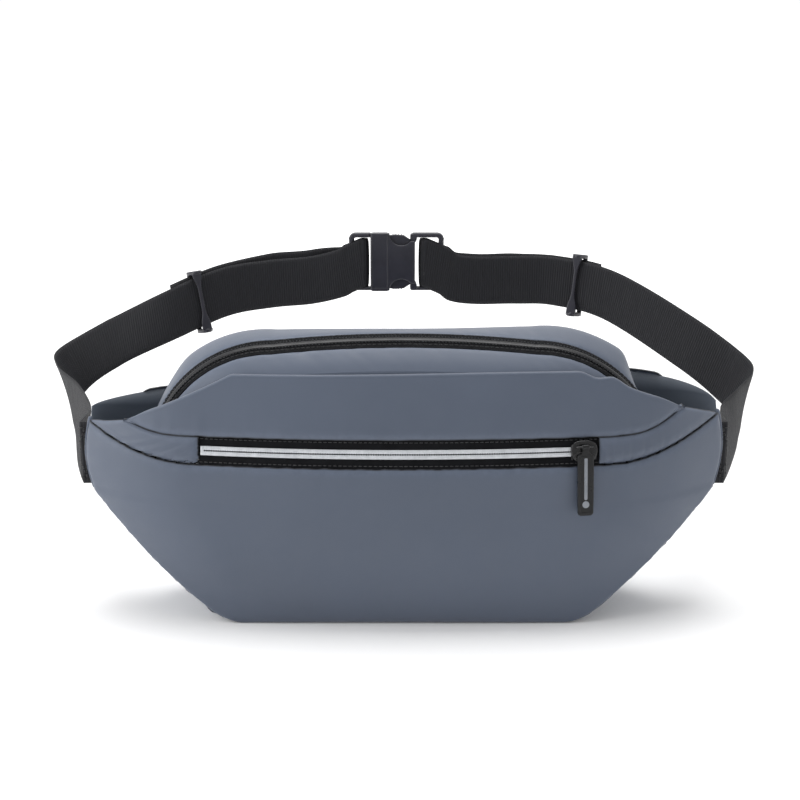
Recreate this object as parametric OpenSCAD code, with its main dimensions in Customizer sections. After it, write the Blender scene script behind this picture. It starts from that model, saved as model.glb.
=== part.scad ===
// Waist pack with a webbing belt, side-release buckle and three zip pockets.
// +X is the wearer's-left-to-right width, the front faces -Y, the pack stands on its base at z = 0.
// The origin is the centre of the flat base.

/* [Pack] */
// Width from side seam to side seam
pack_w = 372; // [340:2:400]
// Width of the flat base
base_w = 204; // [190:2:216]
// Depth of the flat base
base_d = 70; // [60:1:80]
// Height at which the slanted ends meet the side seams
taper_h = 75; // [70:1:80]
// Height of the top of the side seams
wing_h = 116; // [114:1:118]
// How far the stuffed front stands out from the side seams
front_bulge = 46; // [40:1:50]
// How far the back stands out from the side seams
back_bulge = 42; // [38:1:44]
// Thickness of the coated shell fabric with its seam allowance
shell_t = 1.4; // [1:0.1:2]

/* [Front pocket] */
// Width of the zip window
window_w = 226; // [200:2:228]
// Height of the lower seam, at the bottom of the window
window_low = 98; // [96:1:99]
// Height of the zip window
window_h = 16; // [15:0.5:17]
// Middle of the zip window, right of the pack's middle
window_mid = -3; // [-6:1:6]
// Height of the fold along the top of the front pocket
crease_h = 151; // [148:1:152]
// Radius of the bulge that the front zip follows
front_zip_r = 750; // [600:10:900]
// Where the front slider is parked, right of the middle
front_slider_x = 101; // [60:1:102]

/* [Main zip] */
// Height of the zip arch's front edge at the middle
arch_h = 162.5; // [160:0.5:165]
// Radius of the arch's two corners
arch_r = 70; // [66:1:72]
// Half the distance between the corners' centres
arch_x = 76; // [74:1:80]
// Rise of the arch between its corners
arch_crown = 4; // [2:0.5:5]

/* [Belt] */
// Width of the webbing
web_w = 38; // [37:0.5:38.5]
// Thickness of the webbing
web_t = 1.4; // [1.2:0.1:1.5]
// Distance from the side seams back to the buckle
belt_reach = 250; // [248:1:252]
// Height of the buckle's middle
buckle_z = 178; // [176:1:180]

/* [Buckle] */
// Height of the buckle across the webbing
buckle_h = 47; // [46:0.5:49]
// Thickness of the buckle body
buckle_t = 12; // [11:0.5:13]
// Middle of the buckle, right of the pack's middle
buckle_x = -5; // [-6:1:-4]

/* [Hidden] */

slate = "#616873";
black = "#1b1c20";
silver = "#c9ccd0";
seam_x = pack_w/2;
end_round = 3.5;        // how far the short side seams bow outwards
taper_round = 6;        // how far the slanted ends bow outwards
seam_half = 3;          // half the gap between front and back panel at a side seam
fine = 96;

// ---- the pack's surfaces -------------------------------------------------------------

// Half the width of the pack's outline at height z
function half_w(z) = z < taper_h
    ? base_w/2 + (seam_x - base_w/2)*z/taper_h + taper_round*sin(180*z/taper_h)
    : seam_x + (z < wing_h ? end_round*sin(180*(z - taper_h)/(wing_h - taper_h)) : 0);

// Half the depth between the panels' edges at height z
function edge_y(z) = seam_half + (z < taper_h ? (base_d/2 - seam_half)*pow(1 - z/taper_h, 0.9) : 0);

// How far the middle of the front and of the back stand out at height z
function front_mid(z) = z < window_low
    ? base_d/2 + (front_bulge - base_d/2)*sin(90*min(1, z/60))
    : front_bulge - 16*pow((z - window_low)/(crease_h - window_low), 1.3);
function back_mid(z) = base_d/2 + (back_bulge - base_d/2)*sin(90*min(1, z/50))
    - 9*pow(max(0, z - 110)/44, 2);

// Share of that bulge lost at u, from 0 at the middle to 1 at the outline
arc_share = seam_x*seam_x/(2*front_zip_r*(front_bulge - seam_half));
function front_drop(u) = arc_share*u*u + (1 - arc_share)*pow(max(0, u - 0.64)/0.36, 2);
function back_drop(u) = pow(max(0, u - 0.55)/0.45, 2);

function front_y(x, z) = -edge_y(z)
    - (front_mid(z) - edge_y(z))*(1 - front_drop(min(1, abs(x)/half_w(z))));
function back_y(x, z) = edge_y(z)
    + (back_mid(z) - edge_y(z))*(1 - back_drop(min(1, abs(x)/half_w(z))));

// Heights of the seams and folds across the front
function lower_seam(u) = window_low + (wing_h - 1 - window_low)*pow(max(0, abs(u) - 0.63)/0.37, 2);
wing_x = 161;           // where the top of the front wing meets the upper seam
function upper_seam(x) = window_low + window_h + 8*pow(max(0, abs(x) - 130)/(wing_x - 130), 2);
function crease(x) = crease_h - 0.44*max(0, abs(x) - 99);
function wing_top(x) = wing_h + 22*pow(max(0, (seam_x - abs(x))/(seam_x - 120)), 0.4);

// The zip arch: a corner arc at each end and a low crown between them. t runs from 0 to 1
arch_foot = 18;         // angle at which the arch starts, above the corner's centre
arch_z = arch_h - arch_crown - arch_r;
corner_l = arch_r*(90 - arch_foot)*PI/180;
arch_l = 2*corner_l + 2*arch_x;
function arch_at(t, off) = let (s = t*arch_l)
    s < corner_l ? let (a = 180 - arch_foot - s/arch_r*180/PI)
        [-arch_x + (arch_r + off)*cos(a), arch_z + (arch_r + off)*sin(a)]
    : s > arch_l - corner_l ? let (p = arch_at(1 - t, off)) [-p[0], p[1]]
    : let (x = s - corner_l - arch_x)
        [x, arch_z + arch_r + off + arch_crown*(1 - pow(x/arch_x, 2))];
function arch_pt(t, off, y) = let (p = arch_at(t, off)) [p[0], y, p[1]];

// Outline of the back panel's top edge
function hump(x) = let (r = arch_r - 9, d = abs(x) - arch_x)
    d < 0 ? arch_z + r + arch_crown*(1 - pow(x/arch_x, 2)) : d < r ? arch_z + sqrt(r*r - d*d) : 0;
function back_top(x) = max(hump(x), wing_top(x));

// ---- helpers -------------------------------------------------------------------------

function mix(a, b, k) = a + (b - a)*k;
function unit(v) = v/norm(v);

// Outward normal of a grid whose columns run to the viewer's right and rows run up
function grid_normal(g, i, j) = let (n = len(g) - 1, m = len(g[0]) - 1)
    unit(cross(g[i][min(m, j + 1)] - g[i][max(0, j - 1)], g[min(n, i + 1)][j] - g[max(0, i - 1)][j]));

// Keeps a point from reaching below the base
function above(p) = [p[0], p[1], max(0, p[2])];

// A sheet of thickness t behind a grid of outer points
module sheet(g, t = shell_t) {
    n = len(g);
    m = len(g[0]);
    back = [for (i = [0:n - 1]) [for (j = [0:m - 1]) above(g[i][j] - t*grid_normal(g, i, j))]];
    rim = concat([for (j = [0:m - 2]) j], [for (i = [0:n - 2]) i*m + m - 1],
        [for (j = [m - 1:-1:1]) (n - 1)*m + j], [for (i = [n - 1:-1:1]) i*m]);
    k = n*m;
    faces = concat(
        [for (i = [0:n - 2], j = [0:m - 2]) each let (a = i*m + j)
            [[a, a + m, a + m + 1], [a, a + m + 1, a + 1]]],
        [for (i = [0:n - 2], j = [0:m - 2]) each let (a = k + i*m + j)
            [[a, a + m + 1, a + m], [a, a + 1, a + m + 1]]],
        [for (i = [0:len(rim) - 1]) each let (a = rim[i], b = rim[(i + 1)%len(rim)])
            [[a, b, b + k], [a, b + k, a + k]]]);
    polyhedron(points = concat([for (r = g) each r], [for (r = back) each r]), faces = faces);
}

function rows(n) = [for (i = [0:n]) i/n];
module mirrored() mirror([1, 0, 0]) children();
module block(x, y, z) translate([x[0], y[0], z[0]]) cube([x[1] - x[0], y[1] - y[0], z[1] - z[0]]);

// A flat plate in the XZ plane with rounded corners, centred on the origin
module plate(w, t, h, r) rotate([90, 0, 0]) linear_extrude(t, center = true)
    for (sx = [-1, 1], sz = [-1, 1]) {
        translate([sx*(w/2 - r), sz*(h/2 - r)]) circle(r, $fn = fine);
        square([w - 2*r, h], center = true);
        square([w, h - 2*r], center = true);
    }

// ---- shell panels --------------------------------------------------------------------

module front_lower_panel() color(slate)
    sheet([for (v = rows(12)) [for (u = rows(30)) let (s = 2*u - 1, z = v*lower_seam(s),
        x = s*half_w(v*(wing_h - 1))) [x, front_y(x, z), z]]]);

module zip_band(inner) sheet([for (v = rows(3)) [for (u = rows(10)) let (
    x0 = mix(inner, seam_x, u), x1 = mix(inner, wing_x, u),
    x = mix(x0, x1, v), z = mix(lower_seam(x0/seam_x), upper_seam(x1), v)) [x, front_y(x, z), z]]]);
module front_zip_band_right() color(slate) zip_band(window_w/2 + window_mid);
module front_zip_band_left() color(slate) mirrored() zip_band(window_w/2 - window_mid);

module front_upper_panel() color(slate)
    sheet([for (v = rows(6)) [for (u = rows(28)) let (x = (2*u - 1)*wing_x,
        z = mix(upper_seam(x), crease(x) + 0.6, v)) [x, front_y(x, z), z]]]);

// From the fold over the front pocket to the front edge of the main zip
module top_front_panel() color(slate)
    sheet([for (v = rows(4)) [for (t = rows(36)) arch_pt(t, mix(-12, 0, v),
        mix(mix(-19, -28.6, pow(sin(180*t), 0.5)), -16, v))]]);

// From the rear edge of the main zip over the top to the back panel
rear_y = [-4, 7, 18, 28, 35];
top_off = [5, 4.8, 3.2, -0.4, -7.9];    // how far each row stands outside the arch, at the top
side_off = [5, 9, 11, 8.5, -2.5];    // and at the sides
module top_rear_panel() color(slate)
    sheet([for (i = [0:4]) [for (t = rows(36)) let (k = pow(cos(180*t), 2))
        arch_pt(t, mix(top_off[i], side_off[i], k), mix(rear_y[i], 0.85*rear_y[i], pow(k, 4)))]]);

module back_panel() color(slate)
    sheet([for (v = rows(11)) [for (u = rows(30)) let (s = 1 - 2*u, x1 = s*seam_x,
        zt = mix(wing_h, back_top(x1), min(1, 6*(1 - abs(s)))), z = v*zt,
        x = s*half_w(v*wing_h)) [x, back_y(x, z), z]]]);

module base_panel() color(slate) block([-base_w/2, base_w/2], [-base_d/2, base_d/2], [0, shell_t]);

// The slanted end between the front and back panels, narrowing to the side seam
module end_gusset() sheet([for (v = rows(9)) [for (u = rows(6)) let (z = v*taper_h)
    [half_w(z), mix(-edge_y(z), edge_y(z), u), z]]]);
module end_gusset_right() color(slate) end_gusset();
module end_gusset_left() color(slate) mirrored() end_gusset();

// The sunken fold between the front wing and the back wing, beside the main compartment
valley_x = [119, 138, 146, 140, 122];
valley_v = [0, 0.15, 0.5, 0.85, 1];    // share of the way back from the front wing
module wing_valley() sheet([for (i = [4:-1:0]) [for (u = rows(8)) let (
    v = valley_v[i], x = mix(valley_x[i], seam_x - 1, u),
    front = [x, front_y(x, crease(x)) + 1, min(crease(x), wing_h + 30*(1 - u)) - 1],
    rear = [x, back_y(x, wing_top(x)) - 2, wing_top(x) - 1],
    dip = 54*(1 - pow(u, 2))*pow(max(0, sin(180*v)), 0.35)) mix(front, rear, v) - [0, 0, dip]]], 1);
module wing_valley_right() color(black) wing_valley();
module wing_valley_left() color(black) mirrored() wing_valley();

module side_seam() block([seam_x - 1.5, seam_x + 0.5], [-seam_half, seam_half], [taper_h + 1, wing_h - 1]);
module side_seam_right() color(slate) side_seam();
module side_seam_left() color(slate) mirrored() side_seam();

// ---- front pocket zip ----------------------------------------------------------------

zip_z = window_low + window_h/2;
zip_recess = 2;
zip_y = -front_mid(zip_z) + zip_recess;   // the tape's front face at the middle
zip_axis_y = zip_y + front_zip_r;
zip_slope = (front_mid(zip_z + 5) - front_mid(zip_z - 5))/10;
teeth_half = 2.6;
window_turn = asin(window_mid/front_zip_r);

// A strip that follows the front's bulge, between two heights above the zip's middle
module zip_arc(z0, z1, out, deep, w = window_w) let (a = 2*asin(w/2/front_zip_r))
    translate([0, zip_axis_y, zip_z]) rotate([0, 0, window_turn - 90 - a/2]) rotate_extrude(angle = a, $fn = 720)
        polygon([for (p = [[out, z0], [out, z1], [-deep, z1], [-deep, z0]])
            [front_zip_r + p[0] + zip_slope*p[1], p[1]]]);

module front_zip_tape_lower() color(black) zip_arc(-window_h/2, -teeth_half - 0.05, 0, 1);
module front_zip_tape_upper() color(black) zip_arc(teeth_half + 0.05, window_h/2, 0, 1);
module front_zip_teeth_lower() color(silver) zip_arc(-teeth_half, -0.15, 0.7, 0.8, window_w - 8);
module front_zip_teeth_upper() color(silver) zip_arc(0.15, teeth_half, 0.7, 0.8, window_w - 8);

// Moves a child from the middle of the front zip to x, along the bulge
module along_front_zip(x) translate([0, zip_axis_y, zip_z]) rotate([0, 0, asin(x/front_zip_r)])
    translate([0, -front_zip_r, 0]) children();

module front_zip_stops() color(silver) for (s = [-1, 1]) along_front_zip(window_mid + s*(window_w/2 - 2))
    rotate([atan(zip_slope), 0, 0]) block([-1.2, 1.2], [-0.9, 0.8], [-2.5, 2.5]);

// A zip slider: a domed top plate on the outside and the bridge that holds the pull
slider_gap = 1.1;       // from the tape's face to the underside of the top plate
slider_t = 1.6;
pull_eye = 2.2;         // how far in front of the top plate the pull's pivot is
eye_drop = 3.6;         // how far the pivot is below the slider's upper end
module slider_body(w, h, gap = slider_gap) {
    translate([0, -gap - slider_t/2, 0]) plate(w, slider_t, h, 2.5);
    for (s = [-1, 1]) translate([s*2.4, 0, h/2 - 5.5])
        block([-0.6, 0.6], [-gap - slider_t - 3, -gap - slider_t + 0.2], [-1.4, 3]);
    translate([0, -gap - slider_t - pull_eye, h/2 - eye_drop]) rotate([0, 90, 0])
        cylinder(r = 0.6, h = 5, center = true, $fn = 48);
}

// A pull tab that hangs from its pivot at the origin, down the -Z side
module pull_tab(w, h, t) difference() {
    union() {
        translate([0, 0, -h/2 - 4]) plate(w, t, h, 1.6);
        translate([0, 0, -1.85]) plate(3.4, t, 6.3, 1);
    }
    rotate([0, 90, 0]) cylinder(r = 0.66, h = 20, center = true, $fn = 48);
}

front_slider_h = 12.5;
pivot_z = front_slider_h/2 - eye_drop;
pull_tilt = 7;          // the pull rests on the bulge with its lower end outwards
pivot_y = -slider_gap - slider_t - pull_eye;
front_pull_h = 35;
module at_front_slider() along_front_zip(front_slider_x) rotate([atan(zip_slope), 0, 0]) children();
module front_zip_slider() color(black) at_front_slider() slider_body(13.5, front_slider_h);
module at_front_pull() at_front_slider() translate([0, pivot_y, pivot_z])
    rotate([-atan(zip_slope) - pull_tilt, 0, 0]) children();
module front_zip_pull() color(black) at_front_pull() difference() {
    pull_tab(9.4, front_pull_h, 2);
    pull_groove(1.5, 2.1);
}
// The grey line and round dot set into the pull's face
module pull_groove(r_line, r_dot) {
    translate([0, -0.8, -15]) plate(r_line, 0.6, 20, r_line/2 - 0.02);
    translate([0, -0.8, -29]) rotate([90, 0, 0]) cylinder(r = r_dot, h = 0.6, center = true, $fn = fine);
}
module front_pull_inlay() color("#8d9299") at_front_pull() pull_groove(1.4, 2.05);

// ---- main zip ------------------------------------------------------------------------

tape_off = [0, 1.9, 3.3, 5];
tape_y = [-16, -11.4, -8.2, -4];
module arch_strip(i, t0, t1, lift, thick) sheet([for (k = [i, i + 1]) [for (t = rows(48))
    arch_pt(mix(t0, t1, t), tape_off[k] + lift, tape_y[k] - lift)]], thick);
module main_zip_tape_front() color(black) arch_strip(0, 0, 1, -0.4, 1);
module main_zip_coil() color(black) arch_strip(1, 0.01, 0.99, 0.3, 1.6);
module main_zip_tape_rear() color(black) arch_strip(2, 0, 1, -0.4, 1);

// The main slider waits low on the right corner of the arch, in the valley behind the wing
main_park = 24;         // degrees above the corner's centre
module at_main_slider() translate([arch_x, (tape_y[1] + tape_y[2])/2, arch_z])
    rotate([0, -main_park, 0]) translate([arch_r + (tape_off[1] + tape_off[2])/2, 0, 0])
    rotate([0, 0, atan2(tape_y[3] - tape_y[0], tape_off[3])]) children();
module main_zip_slider() color(black) at_main_slider() slider_body(11, 10, 1.8);
module main_zip_pull() color(black) at_main_slider()
    translate([0, -1.8 - slider_t - pull_eye, 10/2 - eye_drop]) pull_tab(5.6, 10, 1.6);

// ---- rear pocket zip -----------------------------------------------------------------

rear_zip_z = 138;
rear_zip_w = 200;
rear_face = back_mid(rear_zip_z);
rear_slope = (back_mid(rear_zip_z + 4) - back_mid(rear_zip_z - 4))/8;
module on_back() translate([0, rear_face, rear_zip_z]) rotate([-atan(rear_slope), 0, 0])
    mirror([0, 1, 0]) children();
module rear_zip_tape() color(black) on_back()
    difference() {
        translate([0, -0.7, 0]) plate(rear_zip_w, 1.2, 14, 2);
        block([-200, 200], [-2, 2], [-2, 2]);
    }
module rear_zip_coil() color(black) on_back()
    block([-rear_zip_w/2 + 3, rear_zip_w/2 - 3], [-1.3, -0.1], [-1.9, 1.9]);
rear_slider_x = 88;
module rear_zip_slider() color(black) on_back() translate([rear_slider_x, -1.3, 0])
    rotate([0, -90, 0]) slider_body(9, 10, 0.5);
module rear_zip_pull() color(black) on_back()
    translate([rear_slider_x - 1.4, -1.3 - 0.5 - slider_t - pull_eye, 0]) rotate([0, 90, 0])
    pull_tab(6, 18, 1.6);

// ---- inner pieces --------------------------------------------------------------------

module pouch(w, y0, y1, z0, z1, wall) difference() {
    block([-w/2, w/2], [y0, y1], [z0, z1]);
    block([-w/2 + wall, w/2 - wall], [y0 + wall, y1 - wall], [z0 + wall, z1 + 1]);
}
module front_pocket_lining() color("#2b2d33") pouch(196, -33, -19, 16, 95, 0.8);
module main_lining() color("#2b2d33") pouch(190, -16, 28, 7, 145, 0.8);
module back_foam() color("#3a3c42") block([-94, 94], [29, 34], [10, 140]);
module base_board() color("#4a4a4a") block([-92, 92], [-29, 28], [shell_t, shell_t + 2]);

// ---- belt ----------------------------------------------------------------------------

root_z = (taper_h + wing_h)/2 - 1;
anchor_out = 4.5;       // how far the sewn stub stands out of the side seam

module strap_anchor() block([seam_x + 0.5, seam_x + anchor_out], [-web_t/2, web_t/2],
    [root_z - web_w/2, root_z + web_w/2]);
module strap_anchor_right() color(black) strap_anchor();
module strap_anchor_left() color(black) mirrored() strap_anchor();

// Route of the webbing's middle from the side seam to its bar in the buckle, as [x, y, z, lean],
// where a positive lean tips the webbing's upper edge outwards, in degrees
root_x = seam_x + anchor_out + 1.2;
bar_x = [35.6, 35.6];   // distance of each web bar from the buckle's middle, left and right
wrap_r = 4.3;           // from a bar's middle to the middle of the webbing around it
loop_slack = [7, 10];   // how far each loop reaches past its bar, towards the buckle's body
web_drop = [9.5, 12.5]; // how far the webbing falls on its way out of the buckle
rear_gap = 5;           // between the two layers, at the tri-glides
bar_at = [bar_x[0] - buckle_x, bar_x[1] + buckle_x];
route = [
    [[root_x, 0, root_z, 0], [204, 50, 91, -16], [224, 105, 93, -6], [246, 155, 96, 14],
        [251, 190, 103, 28], [224, 209, 120, 26], [180, 217, 140.5, 12], [140, 234, 156, 6],
        [105, 244, 161, 3], [74, 246.5, 163.5, 1]],
    [[root_x, 0, root_z, 0], [206, 48, 92, -14], [224, 84, 96, -2], [238, 116, 101, 12],
        [234, 142, 109, 22], [209, 170, 128, 20], [161, 220, 155, 10], [121, 240, 163.5, 3],
        [90, 245.5, 164, 2], [60, 246, 163.5, 1]],
];
glide_leg = 6;          // the tri-glides sit in the middle of the stretch after this route point

// A smooth curve through the points p, m steps to each stretch
function catmull(p, m) = concat([for (i = [0:len(p) - 2], k = [0:m - 1]) let (t = k/m,
    a = p[max(0, i - 1)], b = p[i], c = p[i + 1], d = p[min(len(p) - 1, i + 2)])
    b + 0.5*t*((c - a) + t*((2*a - 5*b + 4*c - d) + t*(3*(b - c) + d - a)))], [p[len(p) - 1]]);

// Both layers of side s, 0 for the left and 1 for the right
function loop_end(s, y) = [[bar_at[s] + 11, y, buckle_z - web_drop[s], 0],
    [bar_at[s] + 2, y, buckle_z - 0.55*web_drop[s], 0]];
function front_run(s) = concat(route[s], loop_end(s, belt_reach - wrap_r),
    [[bar_at[s] - loop_slack[s], belt_reach - wrap_r, buckle_z - 0.4, 0]]);
function rear_run(s) = let (e = loop_end(s, belt_reach + wrap_r)) concat([e[1], e[0]],
    [for (i = [len(route[s]) - 1:-1:glide_leg - 1]) let (p = route[s][i], q = route[s][i - 1],
        n = route[s][min(i + 1, len(route[s]) - 1)],
        out = unit([q[1] - n[1], n[0] - q[0]])*(rear_gap + (i == 8 ? 1.5 : 0)))
        [p[0] - out[0], p[1] - out[1], p[2], -p[3]]]);

// The webbing's upright direction at lean a, for a direction of travel t
web_follow = 0.35;      // share of the slope that the webbing's edges follow
function upright(t, a) = let (w = unit([0, 0, 1] - web_follow*t[2]*t))
    cos(a)*w + sin(a)*unit(cross(t, w));

// A webbing strip along [x, y, z, lean] points
module strip(p) {
    n = len(p);
    ring = [for (i = [0:n - 1]) let (d = p[min(n - 1, i + 1)] - p[max(0, i - 1)],
        t = unit([d[0], d[1], d[2]]), up = upright(t, p[i][3]), out = unit(cross(up, t)),
        w = web_w/2*up, m = web_t/2*out, c = [p[i][0], p[i][1], p[i][2]])
        each [c + w + m, c - w + m, c - w - m, c + w - m]];
    polyhedron(points = ring, faces = concat([[3, 2, 1, 0]],
        [for (i = [0:n - 2], k = [0:3]) each let (a = 4*i + k, b = 4*i + (k + 1)%4)
            [[a, b, b + 4], [a, b + 4, a + 4]]],
        [[for (k = [0:3]) 4*(n - 1) + k]]));
}

smooth = 4;             // steps in each stretch of the belt's route
loop_from = 8.5*smooth; // the step where the loop that ends in the buckle starts
loop_back = 2.5*smooth; // and the step of the rear layer where it stops
function slice(p, a, b) = [for (i = [a:b]) p[i]];
module strap(s) strip(slice(catmull(front_run(s), smooth), 0, loop_from));
module strap_loop(s) let (f = catmull(front_run(s), smooth), r = catmull(rear_run(s), smooth))
    strip(concat(slice(f, loop_from, len(f) - 1),
        [for (a = [240:-30:90]) [bar_at[s] - loop_slack[s] + wrap_r*cos(a),
            belt_reach + wrap_r*sin(a), buckle_z - 0.4, 0]],
        slice(r, 0, loop_back)));
module strap_tail(s) let (r = catmull(rear_run(s), smooth)) strip(slice(r, loop_back, len(r) - 1 - smooth));

module strap_right() color(black) strap(1);
module strap_left() color(black) mirrored() strap(0);
module strap_loop_right() color(black) strap_loop(1);
module strap_loop_left() color(black) mirrored() strap_loop(0);
module strap_tail_right() color(black) strap_tail(1);
module strap_tail_left() color(black) mirrored() strap_tail(0);

// ---- tri-glides ----------------------------------------------------------------------

glide_w = 12;           // length along the webbing
glide_h = 48.6;
glide_in = web_w/2 + 2.2;   // half the opening between the end rails
// Distances from the front layer's middle: front bar, bar between the layers, rear bars
glide_bars = [[-3.7, -1.7], [1.7, 3.1], [7.1, 9]];

module bar(x, y) translate([x, (y[0] + y[1])/2, 0])
    block([-2, 2], [(y[0] - y[1])/2, (y[1] - y[0])/2], [-glide_in - 1, glide_in + 1]);
module triglide() {
    for (s = [-1, 1]) translate([0, (glide_bars[0][0] + glide_bars[2][1])/2, s*(glide_in + glide_h/2)/2])
        rotate([0, 0, 90]) plate(glide_bars[2][1] - glide_bars[0][0], glide_w, glide_h/2 - glide_in, 1.4);
    bar(0, glide_bars[0]);
    bar(0, glide_bars[1]);
    for (x = [-1, 1]*(glide_w/2 - 2)) bar(x, glide_bars[2]);
}
// Places a tri-glide in the middle of its stretch of the front layer, in line with the webbing
module on_strap(s) {
    f = catmull(route[s], smooth);
    i = smooth*glide_leg + smooth/2;
    c = f[i];
    d = f[i + 1] - f[i - 1];
    t = unit([d[0], d[1], d[2]]);
    up = upright(t, c[3]);
    back = unit(cross(t, up));
    along = cross(back, up);
    multmatrix([for (i = [0:2]) [along[i], back[i], up[i], c[i]]]) children();
}
module triglide_left() color(black) mirrored() on_strap(0) triglide();
module triglide_right() color(black) on_strap(1) triglide();

// ---- side-release buckle -------------------------------------------------------------

module at_buckle() translate([buckle_x, belt_reach, buckle_z]) children();
mouth_x = -19;          // where the male's shoulder meets the female's mouth
body_x = 17;          // where the female's body ends and its web frame starts
bar_r = 1.9;
rail_y = 3.5;
wall = 1.8;
rail_in = web_w/2 + 0.6;
cavity_y = 3.9;
cavity_end = 15;

module web_frame(x0, x1, at) {
    for (s = [-1, 1]) translate([(x0 + x1)/2, 0, s*(rail_in + buckle_h/2)/2])
        rotate([0, 0, 90]) plate(2*rail_y, x1 - x0, buckle_h/2 - rail_in, 1.5);
    translate([at, 0, 0]) cylinder(r = bar_r, h = 2*rail_in + 2, center = true, $fn = fine);
}
module buckle_female() color(black) at_buckle() {
    difference() {
        translate([(mouth_x + body_x)/2, 0, 0]) plate(body_x - mouth_x, buckle_t, buckle_h, 2);
        block([mouth_x - 1, cavity_end], [-cavity_y, cavity_y], [wall - buckle_h/2, buckle_h/2 - wall]);
        for (s = [-1, 1]) translate([3, 0, s*(buckle_h/2 + 1)]) rotate([90, 0, 0])
            cylinder(r = 9, h = 30, center = true, $fn = fine);
    }
    web_frame(body_x - 0.5, bar_x[1] + bar_r, bar_x[1]);
}
arm_y = 3;
module buckle_male() color(black) at_buckle() {
    translate([mouth_x - 2.2, 0, 0]) plate(3.8, 9, buckle_h, 1.5);
    block([mouth_x - 1, 10], [-arm_y, arm_y], [-3.5, 3.5]);
    web_frame(-bar_x[0] - bar_r, mouth_x - 3, -bar_x[0]);
}
arm_pivot = [-17.5, 14];
module buckle_arm() {
    translate([arm_pivot[0], 0, arm_pivot[1]]) rotate([90, 0, 0])
        cylinder(r = 1.5, h = 2*arm_y, center = true, $fn = fine);
    block([arm_pivot[0], -5], [-arm_y, arm_y], [12.6, 15.4]);
    rotate([90, 0, 0]) linear_extrude(2*arm_y, center = true)
        polygon([[-6, 12], [9, 12], [12, 14.5], [12, 17], [6, 21.2], [-6, 21.2]]);
}
module buckle_arm_upper() color(black) at_buckle() buckle_arm();
module buckle_arm_lower() color(black) at_buckle() mirror([0, 0, 1]) buckle_arm();

front_lower_panel();
front_zip_band_left();
front_zip_band_right();
front_upper_panel();
top_front_panel();
top_rear_panel();
back_panel();
base_panel();
end_gusset_left();
end_gusset_right();
wing_valley_left();
wing_valley_right();
side_seam_left();
side_seam_right();
front_zip_tape_lower();
front_zip_tape_upper();
front_zip_teeth_lower();
front_zip_teeth_upper();
front_zip_stops();
front_zip_slider();
front_zip_pull();
front_pull_inlay();
main_zip_tape_front();
main_zip_tape_rear();
main_zip_coil();
main_zip_slider();
main_zip_pull();
rear_zip_tape();
rear_zip_coil();
rear_zip_slider();
rear_zip_pull();
front_pocket_lining();
main_lining();
back_foam();
base_board();
strap_anchor_left();
strap_anchor_right();
strap_left();
strap_right();
strap_loop_left();
strap_loop_right();
strap_tail_left();
strap_tail_right();
triglide_left();
triglide_right();
buckle_female();
buckle_male();
buckle_arm_upper();
buckle_arm_lower();
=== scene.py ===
"""Waist pack with a webbing belt: the visual model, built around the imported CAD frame.

Lengths in this script are millimetres, as in part.scad, until a mesh is made; meshes are in metres.
"""
import math

import bpy
import numpy as np
from mathutils import Matrix, Vector


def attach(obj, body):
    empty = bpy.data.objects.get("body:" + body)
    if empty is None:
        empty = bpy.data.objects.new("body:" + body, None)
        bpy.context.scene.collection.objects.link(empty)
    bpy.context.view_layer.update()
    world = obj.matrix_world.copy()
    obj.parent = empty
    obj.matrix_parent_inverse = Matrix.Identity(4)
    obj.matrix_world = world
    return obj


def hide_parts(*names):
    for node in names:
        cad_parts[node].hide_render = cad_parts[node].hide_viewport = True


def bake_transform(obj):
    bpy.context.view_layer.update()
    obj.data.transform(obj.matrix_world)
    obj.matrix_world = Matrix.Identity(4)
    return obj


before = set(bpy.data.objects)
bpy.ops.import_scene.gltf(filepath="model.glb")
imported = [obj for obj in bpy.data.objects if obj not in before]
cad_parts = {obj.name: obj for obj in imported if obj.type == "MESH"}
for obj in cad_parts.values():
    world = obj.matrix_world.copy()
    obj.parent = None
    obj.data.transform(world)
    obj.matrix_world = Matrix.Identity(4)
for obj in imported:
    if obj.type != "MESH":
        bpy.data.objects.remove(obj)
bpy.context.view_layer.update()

MM = 0.001

# ---- dimensions, as in part.scad ------------------------------------------------------
PACK_W, BASE_W, BASE_D, TAPER_H, WING_H = 372, 204, 70, 75, 116
FRONT_BULGE, BACK_BULGE = 46, 42
WINDOW_W, WINDOW_LOW, WINDOW_H, WINDOW_MID = 226, 98, 16, -3
CREASE_H, ZIP_R, SLIDER_X = 151, 750, 101
ARCH_H, ARCH_R, ARCH_X, ARCH_CROWN, ARCH_FOOT = 162.5, 70, 76, 4, 18
WEB_W, WEB_T, REACH = 38, 1.4, 250
BUCKLE_X, BUCKLE_Z, BUCKLE_H, BUCKLE_T = -5, 178, 47, 12
SEAM_X, SEAM_HALF, WING_X = PACK_W / 2, 3, 161
SIDES = {-1: "left", 1: "right"}
RIGHT_LIFT = 4.6      # how much higher the right wing was sewn
ARCH_Z = ARCH_H - ARCH_CROWN - ARCH_R


def smooth(k):
    k = np.clip(k, 0, 1)
    return k * k * (3 - 2 * k)


def mix(a, b, k):
    return a + (b - a) * k


def unit(v):
    v = np.asarray(v, float)
    return v / np.maximum(np.linalg.norm(v, axis=-1, keepdims=True), 1e-9)


# ---- the pack's surfaces, as in part.scad ---------------------------------------------
def half_w(z, full=6.4):
    z = np.asarray(z, float)
    foot = TAPER_H - 2
    low = BASE_W / 2 + (SEAM_X - BASE_W / 2) * z / foot \
        + full * np.sin(np.pi * np.clip(z / foot, 0, 1) ** 0.75)
    bow = 3.5 * np.sin(np.pi * np.clip((z - foot) / (WING_H - foot), 0, 1))
    return np.where(z < foot, low, SEAM_X + bow)


def wide(z, x):
    """Half width on the side of x; the left corner is stuffed a little fuller."""
    return np.where(x < 0, half_w(z), half_w(z, 4.8))


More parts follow.
